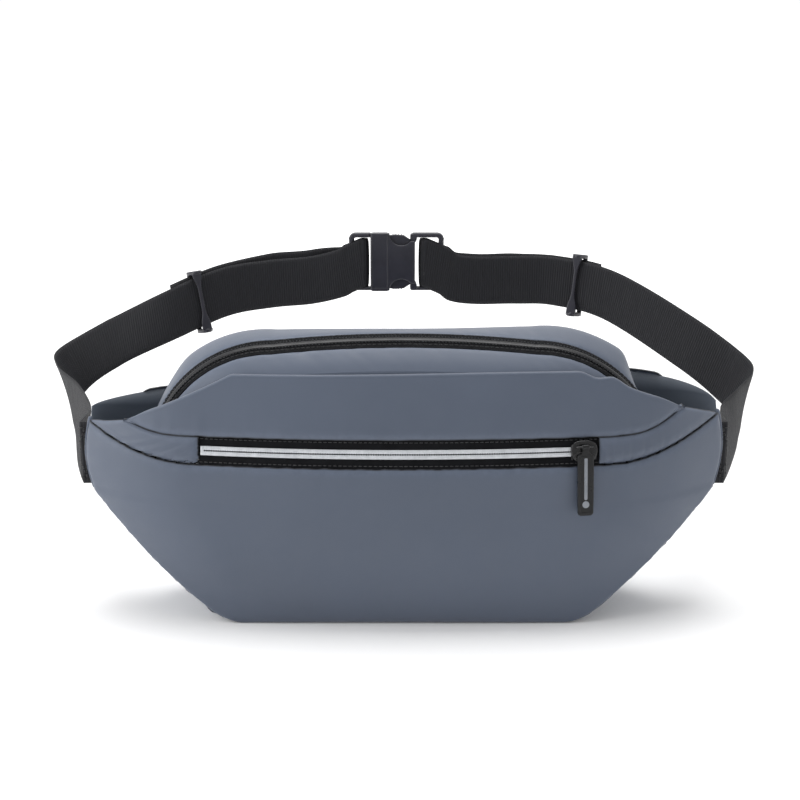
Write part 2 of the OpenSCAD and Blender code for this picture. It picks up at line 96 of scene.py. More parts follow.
def foot_in(z):
    """How far the pack's sides draw in just above its base."""
    return 3.4 * np.clip(1 - z / 10, 0, 1) ** 2


def edge_y(z):
    return SEAM_HALF + (BASE_D / 2 - SEAM_HALF) * np.clip(1 - z / TAPER_H, 0, 1) ** 0.9


def front_mid(z):
    low = BASE_D / 2 + (FRONT_BULGE - BASE_D / 2) * np.sin(np.pi / 2 * np.clip(z / 60, 0, 1))
    high = FRONT_BULGE - 16 * np.clip((z - WINDOW_LOW) / (CREASE_H - WINDOW_LOW), 0, 9) ** 1.3
    return np.where(z < WINDOW_LOW, low, high)


def back_mid(z):
    return BASE_D / 2 + (BACK_BULGE - BASE_D / 2) * np.sin(np.pi / 2 * np.clip(z / 50, 0, 1)) \
        - 9 * (np.clip(z - 110, 0, 99) / 44) ** 2


ARC_SHARE = SEAM_X ** 2 / (2 * ZIP_R * (FRONT_BULGE - SEAM_HALF))


def lie(x, z, seed):
    """The slack of stuffed cloth: a few long, shallow waves."""
    rng = np.random.RandomState(seed)
    total = 0
    for _ in range(7):
        kx, kz = rng.uniform(0.012, 0.05), rng.uniform(-0.07, 0.07)
        total = total + np.sin(kx * x + kz * z + rng.uniform(0, 6.28)) * rng.uniform(0.06, 0.16)
    return total


def front_y(x, z, slack=1.0):
    u = np.clip(np.abs(x) / wide(z, x), 0, 1)
    drop = ARC_SHARE * u * u + (1 - ARC_SHARE) * (np.clip(u - 0.64, 0, 1) / 0.36) ** 2
    y = -edge_y(z) - (front_mid(z) - edge_y(z)) * (1 - drop)
    return y + slack * lie(x, z, 3) * (1 - u ** 4)


def back_y(x, z):
    u = np.clip(np.abs(x) / wide(z, x), 0, 1)
    drop = (np.clip(u - 0.55, 0, 1) / 0.45) ** 2
    y = edge_y(z) + (back_mid(z) - edge_y(z)) * (1 - drop)
    return y - 0.8 * lie(x, z, 5) * (1 - u ** 4)


def lower_seam(u):
    return WINDOW_LOW + (WING_H - 1 - WINDOW_LOW) * (np.clip(np.abs(u) - 0.63, 0, 1) / 0.37) ** 2


def crease(x):
    """Height of the crease; it sags on the left and has a small bump where it starts to fall."""
    far = np.clip(np.abs(x) - 97, 0, 99)
    left = CREASE_H - 3.2 - 0.50 * far + 0.0011 * far ** 2
    right = CREASE_H - 1.7 * (1 - smooth((x - 95) / 25)) - 0.44 * np.sqrt(far ** 2 + 16) + 1.76 \
        + 2.4 * np.exp(-((x - 119) / 6) ** 2) - 1.2 * np.exp(-((x - 108) / 5) ** 2)
    return mix(left, right, smooth((x + 80) / 160))


def upper_seam(x):
    tip = np.where(x < 0, crease(-WING_X), crease(WING_X)) - 0.5
    low = WINDOW_LOW + WINDOW_H
    return low + (tip - low) * (np.clip(np.abs(x) - 130, 0, 99) / (WING_X - 130)) ** 2


def wing_top(x):
    q = np.clip((SEAM_X - np.abs(x)) / (SEAM_X - 120), 0, 9)
    return WING_H + np.where(x < 0, 13.4 * q ** 0.13, 24 * q ** 0.32)


CORNER_L = ARCH_R * math.radians(90 - ARCH_FOOT)
ARCH_L = 2 * CORNER_L + 2 * ARCH_X
FOOT_L = ARCH_R * math.radians(ARCH_FOOT)     # from the arch's foot round to the vertical


def arch(s, off):
    """Point (x, z) of the zip arch at length s from its left foot; it runs on straight down."""
    s = np.asarray(s, float)
    flip = s > ARCH_L / 2
    q = np.where(flip, ARCH_L - s, s)
    a = np.radians(180 - ARCH_FOOT) - q / ARCH_R
    corner_x, corner_z = -ARCH_X + (ARCH_R + off) * np.cos(a), ARCH_Z + (ARCH_R + off) * np.sin(a)
    x_top = q - CORNER_L - ARCH_X
    top_z = ARCH_Z + ARCH_R + off + ARCH_CROWN * (1 - (x_top / ARCH_X) ** 2)
    down = q < -FOOT_L
    x = np.where(q > CORNER_L, x_top, np.where(down, -ARCH_X - ARCH_R - off, corner_x))
    z = np.where(q > CORNER_L, top_z, np.where(down, ARCH_Z + q + FOOT_L, corner_z))
    return np.where(flip, -x, x), z


def hump(x):
    r = ARCH_R - 9
    d = np.abs(x) - ARCH_X
    top = ARCH_Z + r + ARCH_CROWN * (1 - (x / ARCH_X) ** 2)
    return np.where(d < 0, top, ARCH_Z + np.sqrt(np.clip(r * r - d * d, 0, None)))


def back_top(x):
    a, b = hump(x), wing_top(x)
    return 0.5 * (a + b + np.sqrt((a - b) ** 2 + 16)) - 0.3


def lifted(p):
    """The right wing was sewn a little higher than the left."""
    p = np.array(p, float)
    k = smooth((p[..., 0] - 112) / 70) * smooth((p[..., 2] - 42) / 70)
    p[..., 2] += RIGHT_LIFT * k
    return p


# ---- mesh making ----------------------------------------------------------------------
def quads_object(name, verts, quads, st=None, seam=None, smooth_shade=True):
    """A mesh object from millimetre points and four-sided faces."""
    mesh = bpy.data.meshes.new(name)
    verts = np.asarray(verts, float).reshape(-1, 3) * MM
    quads = np.asarray(quads, np.int32).reshape(-1, 4)
    mesh.vertices.add(len(verts))
    mesh.vertices.foreach_set("co", verts.astype(np.float32).ravel())
    mesh.loops.add(quads.size)
    mesh.loops.foreach_set("vertex_index", quads.ravel())
    mesh.polygons.add(len(quads))
    mesh.polygons.foreach_set("loop_start", np.arange(0, quads.size, 4, dtype=np.int32))
    mesh.polygons.foreach_set("use_smooth", np.full(len(quads), smooth_shade))
    mesh.update(calc_edges=True)
    mesh.validate()
    if st is not None:
        a = mesh.attributes.new("st", "FLOAT_VECTOR", "POINT")
        a.data.foreach_set("vector", (np.asarray(st, float) * MM).astype(np.float32).ravel())
    if seam is not None:
        a = mesh.attributes.new("seam", "FLOAT", "POINT")
        a.data.foreach_set("value", np.asarray(seam, np.float32).ravel())
    obj = bpy.data.objects.new(name, mesh)
    bpy.context.scene.collection.objects.link(obj)
    return obj


def grid_normals(p):
    n = np.cross(np.gradient(p, axis=1), np.gradient(p, axis=0))
    return unit(n)


def lengths(p, axis):
    d = np.linalg.norm(np.diff(p, axis=axis), axis=2)
    pad = [(0, 0), (0, 0)]
    pad[axis] = (1, 0)
    return np.cumsum(np.pad(d, pad), axis=axis)


def edge_distances(p):
    """How far each point of a grid is from its left, right, bottom and top edges."""
    across, up = lengths(p, 1), lengths(p, 0)
    return {"l": across, "r": across[:, -1:] - across, "b": up, "t": up[-1:] - up}


def skin(ids):
    """Four-sided faces between neighbouring closed rings of point numbers."""
    nxt = np.roll(ids, -1, 1)
    return np.stack([ids[:-1], nxt[:-1], nxt[1:], ids[1:]], -1).reshape(-1, 4)


def end_caps(ids, first_reversed=True):
    """Four-sided faces that close the first and the last ring."""
    n = ids.shape[1]
    faces = []
    for ring, rev in ((ids[0], first_reversed), (ids[-1], not first_reversed)):
        for i in range(n // 2 - 1):
            f = [ring[i], ring[i + 1], ring[n - 2 - i], ring[n - 1 - i]]
            faces.append(f[::-1] if rev else f)
    return np.array(faces)


def turned(p, edges, depth=1.5, width=1.7):
    """Turns the named edges (l, r, b, t) of a grid inwards, as at a sewn seam.

    Returns the new grid and how near each point is to an edge, from 0 to 1."""
    n = grid_normals(p)
    dist = edge_distances(p)
    sink = np.zeros(p.shape[:2])
    near = np.zeros(p.shape[:2])
    for e in edges:
        sink = np.maximum(sink, np.exp(-(dist[e] / width) ** 1.5))
        near = np.maximum(near, np.exp(-dist[e] / 3.0))
    return p - depth * sink[..., None] * n, near


def puckers(p, edge, size, seed, reach=9.0, pitch=15.0):
    """Short gathers that run away from one seam."""
    n = grid_normals(p)
    every = edge_distances(p)
    dist, along = every[edge], every["b" if edge in "lr" else "l"]
    rng = np.random.RandomState(seed)
    wave = 0
    for k in (0.61, 1.0, 1.63):
        wave = wave + np.sin(2 * np.pi * along * k / pitch + rng.uniform(0, 6.28)) \
            * (0.55 + 0.45 * np.sin(along * rng.uniform(0.02, 0.06) + rng.uniform(0, 6.28)))
    fade = np.exp(-dist / reach) * (1 - np.exp(-dist / 1.5))
    return p + (size * wave * fade)[..., None] * n


def sheet(name, p, thick=1.2, seam=None):
    """A closed sheet behind a grid of outer points; columns run right and rows run up."""
    n, m = p.shape[:2]
    inner = p - thick * grid_normals(p)
    inner[..., 2] = np.maximum(inner[..., 2], 0.02)
    ids = np.arange(n * m).reshape(n, m)
    k = n * m
    a, b, c, d = ids[:-1, :-1], ids[:-1, 1:], ids[1:, 1:], ids[1:, :-1]
    front = np.stack([a, b, c, d], -1).reshape(-1, 4)
    back = np.stack([a + k, d + k, c + k, b + k], -1).reshape(-1, 4)
    rim = np.concatenate([ids[0, :-1], ids[:-1, -1], ids[-1, :0:-1], ids[:0:-1, 0]])
    nxt = np.roll(rim, -1)
    side = np.stack([rim, rim + k, nxt + k, nxt], -1)
    st = np.stack([lengths(p, 1), lengths(p, 0), np.zeros((n, m))], -1).reshape(-1, 3)
    seam = np.zeros((n, m)) if seam is None else seam
    return quads_object(name, np.concatenate([p.reshape(-1, 3), inner.reshape(-1, 3)]),
                        np.concatenate([front, back, side]), np.concatenate([st, st]),
                        np.concatenate([seam.ravel(), seam.ravel()]))


def steps(n, total):
    """Parameters from 0 to 1 over a length in mm, crowded near the seams."""
    near = np.array([0, 0.35, 0.75, 1.2, 1.7, 2.4, 3.4, 4.8]) / total * min(1, total / 28)
    inner = np.linspace(near[-1] * 1.5, 1 - near[-1] * 1.5, n)
    return np.concatenate([near, inner, 1 - near[::-1]])


def join(name, objs):
    """Joins objects into one, under the first one's attributes."""
    bpy.ops.object.select_all(action="DESELECT")
    for o in objs:
        o.select_set(True)
    bpy.context.view_layer.objects.active = objs[0]
    bpy.ops.object.join()
    objs[0].name = name
    objs[0].data.name = name
    return objs[0]


def place(obj, m):
    """Moves a millimetre-built mesh by a 4x4 matrix whose shift is in millimetres."""
    m = Matrix(m)
    m.translation = m.translation * MM
    obj.data.transform(m)
    if m.determinant() < 0:
        obj.data.flip_normals()
    return obj


def shade(obj, sharp=40):
    obj.data.polygons.foreach_set("use_smooth", np.full(len(obj.data.polygons), True))
    obj.data.set_sharp_from_angle(angle=math.radians(sharp))
    return obj


def plate(name, loops, t, bevel=0.6, res=3, y=0.0):
    """A plate in the XZ plane from closed outlines (the first outer, the rest holes), with rounded
    edges, t thick along Y about y."""
    curve = bpy.data.curves.new(name, "CURVE")
    curve.dimensions = "2D"
    curve.fill_mode = "BOTH"
    curve.extrude = (t / 2 - bevel) * MM
    curve.bevel_depth = bevel * MM
    curve.bevel_resolution = res
    curve.offset = -bevel * MM
    for loop in loops:
        spline = curve.splines.new("POLY")
        spline.points.add(len(loop) - 1)
        for q, (x, z) in zip(spline.points, loop):
            q.co = (x * MM, z * MM, 0, 1)
        spline.use_cyclic_u = True
    tmp = bpy.data.objects.new(name + "_curve", curve)
    bpy.context.scene.collection.objects.link(tmp)
    dg = bpy.context.evaluated_depsgraph_get()
    mesh = bpy.data.meshes.new_from_object(tmp.evaluated_get(dg))
    bpy.data.objects.remove(tmp)
    mesh.name = name
    obj = bpy.data.objects.new(name, mesh)
    bpy.context.scene.collection.objects.link(obj)
    # local X, Z stay and the extrusion goes along Y
    obj.data.transform(Matrix(((1, 0, 0, 0), (0, 0, 1, y * MM), (0, 1, 0, 0), (0, 0, 0, 1))))
    obj.data.flip_normals()
    return shade(obj)


def rounded(w, h, r, cx=0.0, cz=0.0, n=8):
    """Outline of a rectangle with rounded corners."""
    out = []
    for sx, sz, a0 in ((1, 1, 0), (-1, 1, 90), (-1, -1, 180), (1, -1, 270)):
        for i in range(n + 1):
            a = math.radians(a0 + 90 * i / n)
            out.append((cx + sx * (w / 2 - r) + r * math.cos(a),
                        cz + sz * (h / 2 - r) + r * math.sin(a)))
    return out


def tube(name, path, r, sides=12):
    """A round bar along a list of points, with domed ends."""
    p = np.asarray(path, float)
    t = unit(np.gradient(p, axis=0))
    ref = np.array([0, 0, 1.0]) if abs(t[0][2]) < 0.9 else np.array([1.0, 0, 0])
    rings = []
    cap = 5
    pts, rad = [], []
    for i in range(cap):
        a = math.pi / 2 * i / cap
        pts.append(p[0] - t[0] * r * math.cos(a))
        rad.append(max(r * math.sin(a), 0.02 * r))
    pts += list(p)
    rad += [r] * len(p)
    for i in range(cap - 1, -1, -1):
        a = math.pi / 2 * i / cap
        pts.append(p[-1] + t[-1] * r * math.cos(a))
        rad.append(max(r * math.sin(a), 0.02 * r))
    tt = [t[0]] * cap + list(t) + [t[-1]] * cap
    for c, q, k in zip(pts, tt, rad):
        u = unit(np.cross(q, ref))
        v = np.cross(u, q)
        a = np.linspace(0, 2 * np.pi, sides, endpoint=False)
        rings.append(c + k * (np.cos(a)[:, None] * u + np.sin(a)[:, None] * v))
    ids = np.arange(len(rings) * sides).reshape(len(rings), sides)
    quads = np.concatenate([skin(ids)[:, [0, 3, 2, 1]], end_caps(ids, False)])
    return quads_object(name, np.concatenate(rings), quads)


def lumps(name, centres, x_axes, z_axes, size, sides=8):
    """Many small rounded lozenges in one mesh: stitches, zip teeth, dots. size is (x, y, z)."""
    c = np.asarray(centres, float).reshape(-1, 3)
    ux, uz = unit(x_axes).reshape(-1, 3), unit(z_axes).reshape(-1, 3)
    ux = np.broadcast_to(ux, c.shape)
    uz = np.broadcast_to(uz, c.shape)
    uy = np.cross(uz, ux)
    hx, hy, hz = (v / 2 for v in size)
    prof = [(-1, 0.35), (-0.82, 0.8), (-0.4, 1), (0.4, 1), (0.82, 0.8), (1, 0.35)]
    a = np.linspace(0, 2 * np.pi, sides, endpoint=False) + np.pi / sides
    ring = [(px * hx, k * hy * np.cos(a), k * hz * np.sin(a)) for px, k in prof]
    local = np.concatenate([np.stack([np.full(sides, r[0]), r[1], r[2]], -1) for r in ring])
    verts = c[:, None, :] + local[None, :, 0:1] * ux[:, None] + local[None, :, 1:2] * uy[:, None] \
        + local[None, :, 2:3] * uz[:, None]
    ids = np.arange(len(prof) * sides).reshape(len(prof), sides)
    q = np.concatenate([skin(ids), end_caps(ids)])
    quads = (q[None] + (np.arange(len(c)) * len(local))[:, None, None]).reshape(-1, 4)
    return quads_object(name, verts.reshape(-1, 3), quads)


def stitches(name, path, normals, pitch=3.2, length=2.3, width=0.55):
    """A row of lockstitches along a path that lies on cloth with these normals."""
    p = np.asarray(path, float)
    s = np.concatenate([[0], np.cumsum(np.linalg.norm(np.diff(p, axis=0), axis=1))])
    n = max(2, int(s[-1] / pitch))
    at = (np.arange(n) + 0.5) * s[-1] / n
    nn = np.broadcast_to(np.asarray(normals, float), p.shape)
    c = np.stack([np.interp(at, s, p[:, k]) for k in range(3)], -1)
    ahead = np.stack([np.interp(at + 0.5, s, p[:, k]) for k in range(3)], -1)
    behind = np.stack([np.interp(at - 0.5, s, p[:, k]) for k in range(3)], -1)
    nm = unit(np.stack([np.interp(at, s, nn[:, k]) for k in range(3)], -1))
    return lumps(name, c + 0.12 * nm, ahead - behind, nm, (length, width, 0.5), 6)


# ---- materials ------------------------------------------------------------------------
class Mat:
    """A small helper that builds one procedural material."""

    def __init__(self, name):
        self.mat = bpy.data.materials.new(name)
        self.mat.use_nodes = True
        self.tree = self.mat.node_tree
        self.bsdf = self.tree.nodes["Principled BSDF"]
        self.obj = self.add("TexCoord").outputs["Object"]

    def add(self, kind, inputs=None, **props):
        node = self.tree.nodes.new("ShaderNode" + kind)
        for k, v in props.items():
            setattr(node, k, v)
        for k, v in (inputs or {}).items():
            self.put(node.inputs[k], v)
        return node

    def put(self, socket, v):
        if isinstance(v, bpy.types.NodeSocket):
            self.tree.links.new(v, socket)
        else:
            socket.default_value = v

    def noise(self, scale, detail=2.0, rough=0.5, vector=None):
        return self.add("TexNoise", {"Vector": vector or self.obj, "Scale": scale,
                                     "Detail": detail, "Roughness": rough}).outputs["Fac"]

    def maths(self, op, a, b=0.5):
        return self.add("Math", {0: a, 1: b}, operation=op).outputs[0]

    def remap(self, v, lo, hi, a=0.3, b=0.7):
        return self.add("MapRange", {"Value": v, "From Min": a, "From Max": b,
                                     "To Min": lo, "To Max": hi}).outputs[0]

    def blend(self, fac, a, b, mode="MIX"):
        node = self.add("Mix", data_type="RGBA", blend_type=mode)
        self.put(node.inputs[0], fac)
        self.put(node.inputs[6], a)
        self.put(node.inputs[7], b)
        return node.outputs[2]

    def attr(self, name, out="Fac"):
        return self.add("Attribute", attribute_name=name).outputs[out]

    def bump(self, height, distance, strength=1.0, below=None):
        inputs = {"Height": height, "Distance": distance, "Strength": strength}
        if below is not None:
            inputs["Normal"] = below
        return self.add("Bump", inputs).outputs["Normal"]

    def done(self, color, rough, normal=None, **fixed):
        self.put(self.bsdf.inputs["Base Color"], color)
        self.put(self.bsdf.inputs["Roughness"], rough)
        if normal is not None:
            self.put(self.bsdf.inputs["Normal"], normal)
        for k, v in fixed.items():
            self.bsdf.inputs[k.replace("_", " ")].default_value = v
        return self.mat


def rgb(c, k=1.0):
    return (c[0] * k, c[1] * k, c[2] * k, 1.0)


SLATE = (0.076, 0.094, 0.133)
BLACK = (0.0060, 0.0062, 0.0080)


def coated_fabric(name, base, grain=1.0):
    """Polyurethane-coated cloth: matt, faintly grained, lighter on its seam ridges with wear and a painted
    highlight, and dark right in the seam lines.
    """
    m = Mat(name)
    cloud, patch = m.noise(11, 3, 0.6), m.noise(70, 3, 0.6)
    color = m.blend(m.remap(cloud, 0, 1), rgb(base, 0.95), rgb(base, 1.06))
    color = m.blend(m.remap(patch, 0, 0.35), color, rgb((base[0] * 1.1, base[1] * 1.08, base[2] * 1.05)))
    near = m.attr("seam")
    # wear and painted highlight: the rolled seam ridges are painted lighter, broken up by noise
    wear_and_highlight = m.maths("MULTIPLY", m.remap(near, 0, 1, 0.15, 0.5), m.remap(m.noise(260, 4, 0.7), 0.05, 0.4))
    color = m.blend(wear_and_highlight, color, rgb(base, 1.6))
    color = m.blend(m.remap(near, 0, 1, 0.74, 0.93), color, rgb(base, 0.12))
    rough = m.remap(m.noise(45, 4, 0.6), 0.46, 0.60)
    weave = m.add("TexVoronoi", {"Vector": m.obj, "Scale": 1500.0}, feature="F1").outputs["Distance"]
    n = m.bump(m.noise(30, 3, 0.55), 0.0012 * grain, 0.10)
    n = m.bump(m.noise(2300, 2, 0.6), 0.00010, 0.28 * grain, n)
    n = m.bump(weave, 0.00006, 0.20 * grain, n)
    return m.done(color, rough, n, Sheen_Weight=0.22, Sheen_Roughness=0.45, Specular_IOR_Level=0.42)


def valley_cloth(name, base, shade_color):
    """The inside of the wings: the same cloth, running into painted black shade deep down towards the bottom.
    """
    m = Mat(name)
    # painted shade: here the seam attribute holds how deep in the valley each point lies
    painted_shade = m.maths("ADD", m.attr("seam"), m.remap(m.noise(60, 3), -0.06, 0.06))
    color = m.blend(m.remap(m.noise(11, 3), 0, 1), rgb(base, 0.92), rgb(base, 1.08))
    color = m.blend(m.remap(painted_shade, 0, 1, 0.42, 0.72), color, rgb(shade_color))
    n = m.bump(m.noise(2300, 2, 0.6), 0.00010, 0.28)
    n = m.bump(m.noise(40, 3), 0.0010, 0.15, n)
    return m.done(color, m.remap(m.noise(45, 4), 0.5, 0.64), n, Sheen_Weight=0.12, Sheen_Roughness=0.45)


def webbing(name, base):
    """Nylon webbing: cross ribs along st.x, a fine warp along st.y and fuzz."""
    m = Mat(name)
    st = m.attr("st", "Vector")
    split = m.add("SeparateXYZ", {0: st})
    along, across = split.outputs[0], split.outputs[1]
    rib = m.maths("ABSOLUTE", m.maths("SINE", m.maths("MULTIPLY", along, math.pi / 0.0018)))
    warp = m.maths("SINE", m.maths("MULTIPLY", across, 2 * math.pi / 0.0009))
    both = m.maths("ADD", m.maths("MULTIPLY", rib, 0.8), m.maths("MULTIPLY", warp, 0.12))
    fuzz = m.noise(3200, 2, 0.7)
    drawn = m.add("Mapping", {"Vector": st, "Scale": (900.0, 60.0, 1.0)}).outputs[0]
    streak = m.noise(1.0, 3.0, 0.5, drawn)
    # painted highlight and shade: the rib crests are painted lighter and the troughs darker
    color = m.blend(m.remap(rib, 0, 1, 0.1, 0.9), rgb(base, 0.4), rgb(base, 1.7))
    color = m.blend(m.remap(streak, 0, 0.5), color, rgb(base, 2.1))
    color = m.blend(m.remap(fuzz, 0, 0.3, 0.55, 0.8), color, rgb((0.06, 0.06, 0.066)))
    n = m.bump(both, 0.00028, 0.75)
    n = m.bump(fuzz, 0.00010, 0.35, n)
    rough = m.remap(streak, 0.52, 0.72)
    return m.done(color, rough, n, Sheen_Weight=0.05, Sheen_Roughness=0.35, Specular_IOR_Level=0.26)


def moulded(name, base, rough=(0.36, 0.5), grain=1.0, spec=0.5):
    """Moulded nylon or acetal: fine spark-eroded grain, flow marks and rubbed spots."""
    m = Mat(name)
    flow = m.noise(55, 4, 0.65)
    color = m.blend(m.remap(flow, 0, 1), rgb(base, 0.85), rgb(base, 1.25))
    rub = m.remap(m.noise(330, 5, 0.7), 0, 0.35, 0.56, 0.8)
    color = m.blend(rub, color, rgb((base[0] + 0.02, base[1] + 0.02, base[2] + 0.022)))
    n = m.bump(m.noise(2600, 2, 0.6), 0.00006, 0.35 * grain)
    n = m.bump(m.noise(120, 3, 0.5), 0.0002, 0.08, n)
    return m.done(color, m.remap(m.noise(140, 4, 0.6), *rough), n, Specular_IOR_Level=spec)


def tape_cloth(name, base):
    """Zip tape: a fine herringbone twill."""
    m = Mat(name)
    twill = m.add("TexWave", {"Vector": m.obj, "Scale": 620.0, "Distortion": 1.2, "Detail": 1.0},
                  bands_direction="DIAGONAL").outputs["Fac"]
    cross = m.add("TexWave", {"Vector": m.obj, "Scale": 700.0, "Distortion": 0.8, "Detail": 1.0},
                  bands_direction="X").outputs["Fac"]
    both = m.maths("MULTIPLY", twill, cross)
    color = m.blend(m.remap(both, 0, 1, 0.1, 0.8), rgb(base, 0.6), rgb(base, 1.5))
    color = m.blend(m.remap(m.noise(90, 3), 0, 0.4), color, rgb(base, 2.0))
    n = m.bump(both, 0.00016, 0.6)
    return m.done(color, m.remap(m.noise(200, 3), 0.6, 0.8), n, Specular_IOR_Level=0.10)


def reflective(name):
    """Silver-white reflective film over the front coil: beaded and slightly creased."""
    m = Mat(name)
    bead = m.add("TexVoronoi", {"Vector": m.obj, "Scale": 1900.0}, feature="F1").outputs["Distance"]
    smear = m.noise(210, 4, 0.7)
    color = m.blend(m.remap(smear, 0, 1), rgb((0.46, 0.48, 0.51)), rgb((0.62, 0.64, 0.67)))
    color = m.blend(m.remap(m.noise(900, 3, 0.7), 0, 0.4, 0.5, 0.8), color, rgb((0.36, 0.37, 0.39)))
    n = m.bump(bead, 0.00008, 0.4)
    n = m.bump(smear, 0.0003, 0.15, n)
    return m.done(color, m.remap(smear, 0.28, 0.44), n, Metallic=0.15, Specular_IOR_Level=0.6)


def enamel(name, base):
    """Black enamelled zinc, rubbed thin in places."""
    m = Mat(name)
    chip = m.remap(m.noise(520, 5, 0.75), 0, 0.6, 0.62, 0.8)
    color = m.blend(m.remap(m.noise(80, 3), 0, 1), rgb(base, 0.8), rgb(base, 1.3))
    color = m.blend(chip, color, rgb((0.05, 0.05, 0.055)))
    n = m.bump(m.noise(900, 3, 0.6), 0.00008, 0.25)
    return m.done(color, m.remap(m.noise(160, 4), 0.18, 0.36), n, Metallic=0.35, Coat_Weight=0.4,
                  Coat_Roughness=0.18)


def thread(name, base):
    """Twisted sewing thread."""
    m = Mat(name)
    ply = m.add("TexWave", {"Vector": m.obj, "Scale": 900.0, "Distortion": 1.5},
                bands_direction="DIAGONAL").outputs["Fac"]
    color = m.blend(ply, rgb(base, 0.65), rgb(base, 1.35))
    return m.done(color, m.remap(m.noise(300, 3), 0.5, 0.7), m.bump(ply, 0.00012, 0.6),
                  Sheen_Weight=0.3)


M = {
    "shell": coated_fabric("coated_fabric", SLATE),
    # the valley's base is a darker copy of the slate (painted shade), and its second colour is the painted
    # black shade
    "valley": valley_cloth("coated_fabric_inside", (0.055, 0.069, 0.092), (0.006, 0.007, 0.009)),
    "web": webbing("webbing", BLACK),
    "buckle": moulded("buckle_plastic", (0.0175, 0.0175, 0.0255), (0.28, 0.42)),
    "tape": tape_cloth("zip_tape", (0.0045, 0.0048, 0.0060)),
    "coil": moulded("zip_coil", (0.0075, 0.0078, 0.0095), (0.3, 0.45), 1.0, 0.35),
    "silver": reflective("reflective_teeth"),
    "slider": enamel("slider_metal", (0.009, 0.009, 0.010)),
    "pull": moulded("pull_rubber", (0.0045, 0.0048, 0.0055), (0.24, 0.36), 0.6, 0.35),
    "inlay": moulded("pull_inlay", (0.20, 0.215, 0.24), (0.4, 0.55)),
    "thread": thread("thread_black", (0.007, 0.007, 0.009)),
    "thread_slate": thread("thread_slate", (0.07, 0.086, 0.12)),
    "coil_thread": thread("thread_coil", (0.028, 0.030, 0.036)),
    "lining": tape_cloth("lining", (0.013, 0.014, 0.017)),
    "foam": moulded("foam", (0.05, 0.052, 0.06), (0.7, 0.85)),
    "board": moulded("board", (0.06, 0.06, 0.06), (0.5, 0.65)),
}


def finish(obj, mat, body, replaces=()):
    """Gives a piece its material and slot, its body, and the CAD nodes it stands for."""
    obj.data.materials.clear()
    obj.data.materials.append(M[mat])
    if body:
        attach(obj, body)
    if replaces:
        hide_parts(*replaces)
    return obj


# ---- shell ----------------------------------------------------------------------------
def shell(name, p, edges, nodes, mat="shell", depth=1.5, width=1.7, thick=1.2, pucker=(),
          seam=None):
    p = lifted(p)
    for edge, size, seed, *rest in pucker:
        p = puckers(p, edge, size, seed, *rest)
    p, near = turned(p, edges, depth, width)
    obj = sheet(name, p, thick, near if seam is None else seam)
    return finish(obj, mat, "bag", nodes)


def grid(rows, cols):
    return np.meshgrid(rows, cols, indexing="ij")


FOOT_R = 4.5          # radius of the lower front and back edges


def rounded_foot(y, z):
    """Tucks the lowest cloth in under the pack."""
    k = np.clip(1 - z / FOOT_R, 0, 1)
    return y - np.sign(y) * FOOT_R * 0.7 * (1 - np.sqrt(1 - k * k))


def front_lower():
    v, u = grid(steps(54, 105), steps(150, 372))
    s = 2 * u - 1
    z = v ** 1.15 * lower_seam(s)
    w = v ** 1.15 * (WING_H - 1)
    x = s * (wide(w, s) - foot_in(w))
    y = rounded_foot(front_y(x, z), z)
    p = np.stack([x, y, z], -1)
    return shell("shell_front_lower", p, "lrt", ["front_lower_panel"],
                 pucker=[("t", 0.22, 11, 6.0, 11.0), ("l", 0.25, 12), ("r", 0.25, 13)])


def band(side):
    inner = WINDOW_W / 2 + side * WINDOW_MID
    v, u = grid(steps(12, 14), steps(40, 74))
    x0, x1 = mix(inner, SEAM_X, u), mix(inner, WING_X, u)
    x = mix(x0, x1, v)
    z = mix(lower_seam(x0 / SEAM_X), upper_seam(x1 * side), v)
    y = front_y(x * side, z) + 1.2 * smooth(1 - v * 2.5)
    p = np.stack([x * side, y, z], -1)
    if side < 0:
        p = p[:, ::-1]
    name = SIDES[side]
    return shell("shell_zip_band_" + name, p, "lrbt", ["front_zip_band_" + name],
                 pucker=[("b", 0.75, 21 + side, 5.0, 7.0)])


FOLD_R = 1.9          # radius of the fold along the crease


def front_upper():
    v, u = grid(steps(26, 37), steps(150, 322))
    x = (2 * u - 1) * WING_X
    r = FOLD_R * (0.25 + 0.75 * smooth((WING_X - np.abs(x[-1])) / 22))
    full = smooth((WING_X - np.abs(x)) / 16)
    top = crease(x) - r + 0.6 * full - 0.9 * (1 - full)
    z = mix(upper_seam(x), np.maximum(top, upper_seam(x) + 0.1), v)
    y = front_y(x, z) + 0.6 * (1 - full)
    face = np.stack([x, y, z], -1)
    a = np.radians(np.linspace(12, 180, 13))[:, None]
    fold = np.stack([np.broadcast_to(x[-1], (13, x.shape[1])),
                     y[-1] + r * (1 - np.cos(a)), z[-1] + r * np.sin(a)], -1)
    tail = np.stack([np.stack([x[-1], y[-1] + 2 * r + 0.2 * k, z[-1] - d], -1)
                     for k, d in ((1, 2.0), (2, 5.0), (4, 9.0))])
    return shell("shell_front_upper", np.concatenate([face, fold, tail]), "b", ["front_upper_panel"],
                 thick=0.9, pucker=[("b", 0.14, 31)])


DROP = 34.0           # how far the sides of the main compartment go on below the arch's feet


def arch_s(n):
    side = np.linspace(-FOOT_L - DROP, 0, 26)
    return np.concatenate([side[:-1], np.linspace(0, ARCH_L, n), ARCH_L - side[-2::-1]])


def arch_grid(rows, s, off_y):
    """Rows of points at (offset, y) that off_y gives for each row and each length s."""
    t = np.clip(s / ARCH_L, 0, 1)
    out = []
    for v in rows:
        off, y = off_y(v, t)
        x, z = arch(s, off)
        out.append(np.stack([x, np.broadcast_to(y, x.shape), z], -1))
    return np.stack(out)


